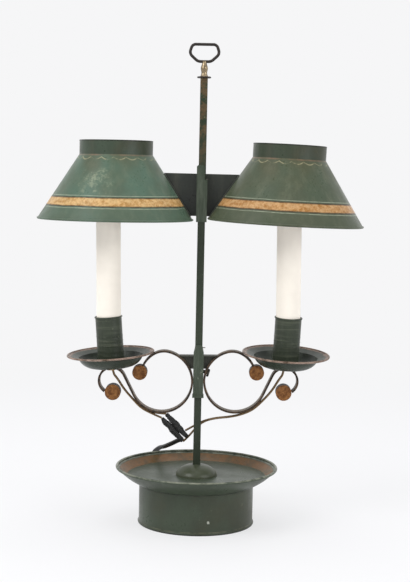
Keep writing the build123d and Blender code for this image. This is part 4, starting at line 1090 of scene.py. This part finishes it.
class LAMP_OT_stage(bpy.types.Operator):
    """Set up the table, the lights and the camera"""

    bl_idname = "lamp.stage"
    bl_label = "Stage"

    def execute(self, context):
        self.camera(context)
        self.floor()
        self.room(context)
        self.lights()
        context.scene.view_settings.view_transform = "Standard"
        return {"FINISHED"}

    def camera(self, context):
        stage = context.scene.lamp_stage
        data = bpy.data.cameras.new("View")
        data.sensor_fit = "VERTICAL"
        data.sensor_height = SENSOR_HEIGHT
        data.lens = stage.lens
        data.shift_y = stage.shift
        camera = placed("View", data)
        place = Matrix.Translation((stage.aside, -stage.distance, stage.height))
        camera.matrix_world = (place @ Matrix.Rotation(math.radians(90) - stage.pitch, 4, "X")
                               @ Matrix.Rotation(stage.roll, 4, "Z"))
        context.scene.camera = camera

    def floor(self):
        """A flat pale table that takes the shadow near the lamp and fades into the background further out."""

        def build(net, shader):
            net.put(shader["Base Color"], (*srgb(*TABLE_PAINT), 1.0))

        material = make_material("Pale table", build, roughness=0.6, Specular_IOR_Level=0.2)
        net = Net(material.node_tree)
        output = next(node for node in material.node_tree.nodes if node.type == "OUTPUT_MATERIAL")
        lit = output.inputs["Surface"].links[0].from_socket
        glow = net.fed(net.node("ShaderNodeEmission"), Color=(*srgb(*BACKGROUND), 1.0), Strength=1.0)
        away = net.node("ShaderNodeVectorMath", operation="LENGTH")
        net.put(away.inputs[0], net.object_place())
        far = net.step(away.outputs["Value"], *TABLE_FADE)
        share = net.plus(TABLE_GLOW, net.times(far, 1.0 - TABLE_GLOW))
        surface = shader_mix(net, net.times(seen_directly(net), share), lit, glow[0])
        net.put(output.inputs["Surface"], surface)
        mesh = bpy.data.meshes.new("Table")
        corners = [(x * TABLE_REACH, y * TABLE_REACH, 0) for x, y in ((-1, -1), (1, -1), (1, 1), (-1, 1))]
        mesh.from_pydata(corners, [], [(0, 1, 2, 3)])
        mesh.materials.append(material)
        placed("Table", mesh)

    def room(self, context):
        """A room that is dim on the camera's side, and white wherever it is seen directly."""
        world = bpy.data.worlds.new("Soft room")
        world.use_nodes = True
        world.node_tree.nodes.clear()
        net = Net(world.node_tree)
        around = net.split(net.node("ShaderNodeTexCoord").outputs["Generated"])[1]
        strength = net.plus(ROOM_DIM, net.times(net.step(around, *ROOM_TURN), ROOM_RISE))
        room = net.fed(net.node("ShaderNodeBackground"), Color=(*srgb(*ROOM_LIGHT), 1.0), Strength=strength)
        white = net.fed(net.node("ShaderNodeBackground"), Color=(*srgb(*BACKGROUND), 1.0), Strength=1.0)
        surface = shader_mix(net, seen_directly(net), room[0], white[0])
        net.put(net.node("ShaderNodeOutputWorld").inputs["Surface"], surface)
        context.scene.world = world

    def lights(self):
        for name, place, size, power in LIGHTS:
            light = bpy.data.lights.new(name, "AREA")
            light.shape = "SQUARE"
            light.size = size
            light.energy = power
            lamp = placed(name, light)
            lamp.location = place
            aim = Vector(LIGHT_AIM) - Vector(place)
            lamp.rotation_euler = aim.to_track_quat("-Z", "Y").to_euler()


class LAMP_PT_panel(bpy.types.Panel):
    """The lamp's pieces, in the order in which they are made"""

    bl_label = "Bouillotte Lamp"
    bl_idname = "LAMP_PT_panel"
    bl_space_type = "VIEW_3D"
    bl_region_type = "UI"
    bl_category = "Lamp"

    def draw(self, context):
        for settings in (context.scene.lamp_paint, context.scene.lamp_cord, context.scene.lamp_stage):
            box = self.layout.box()
            for key in settings.__annotations__:
                box.prop(settings, key)
        for operator in OPERATORS:
            self.layout.operator(operator.bl_idname)


OPERATORS = (
    LAMP_OT_finishes,
    LAMP_OT_stage,
    LAMP_OT_cords,
    LAMP_OT_dressing,
)
SETTINGS = {"lamp_paint": LampPaintSettings, "lamp_cord": LampCordSettings, "lamp_stage": LampStageSettings}


def register():
    for group in SETTINGS.values():
        bpy.utils.register_class(group)
    for operator in OPERATORS:
        bpy.utils.register_class(operator)
    bpy.utils.register_class(LAMP_PT_panel)
    for name, group in SETTINGS.items():
        setattr(bpy.types.Scene, name, bpy.props.PointerProperty(type=group))


def unregister():
    for name in SETTINGS:
        delattr(bpy.types.Scene, name)
    bpy.utils.unregister_class(LAMP_PT_panel)
    for operator in reversed(OPERATORS):
        bpy.utils.unregister_class(operator)
    for group in reversed(SETTINGS.values()):
        bpy.utils.unregister_class(group)


def main():
    register()
    for operator in OPERATORS:
        package, name = operator.bl_idname.split(".")
        getattr(getattr(bpy.ops, package), name)()


if __name__ == "__main__":
    main()
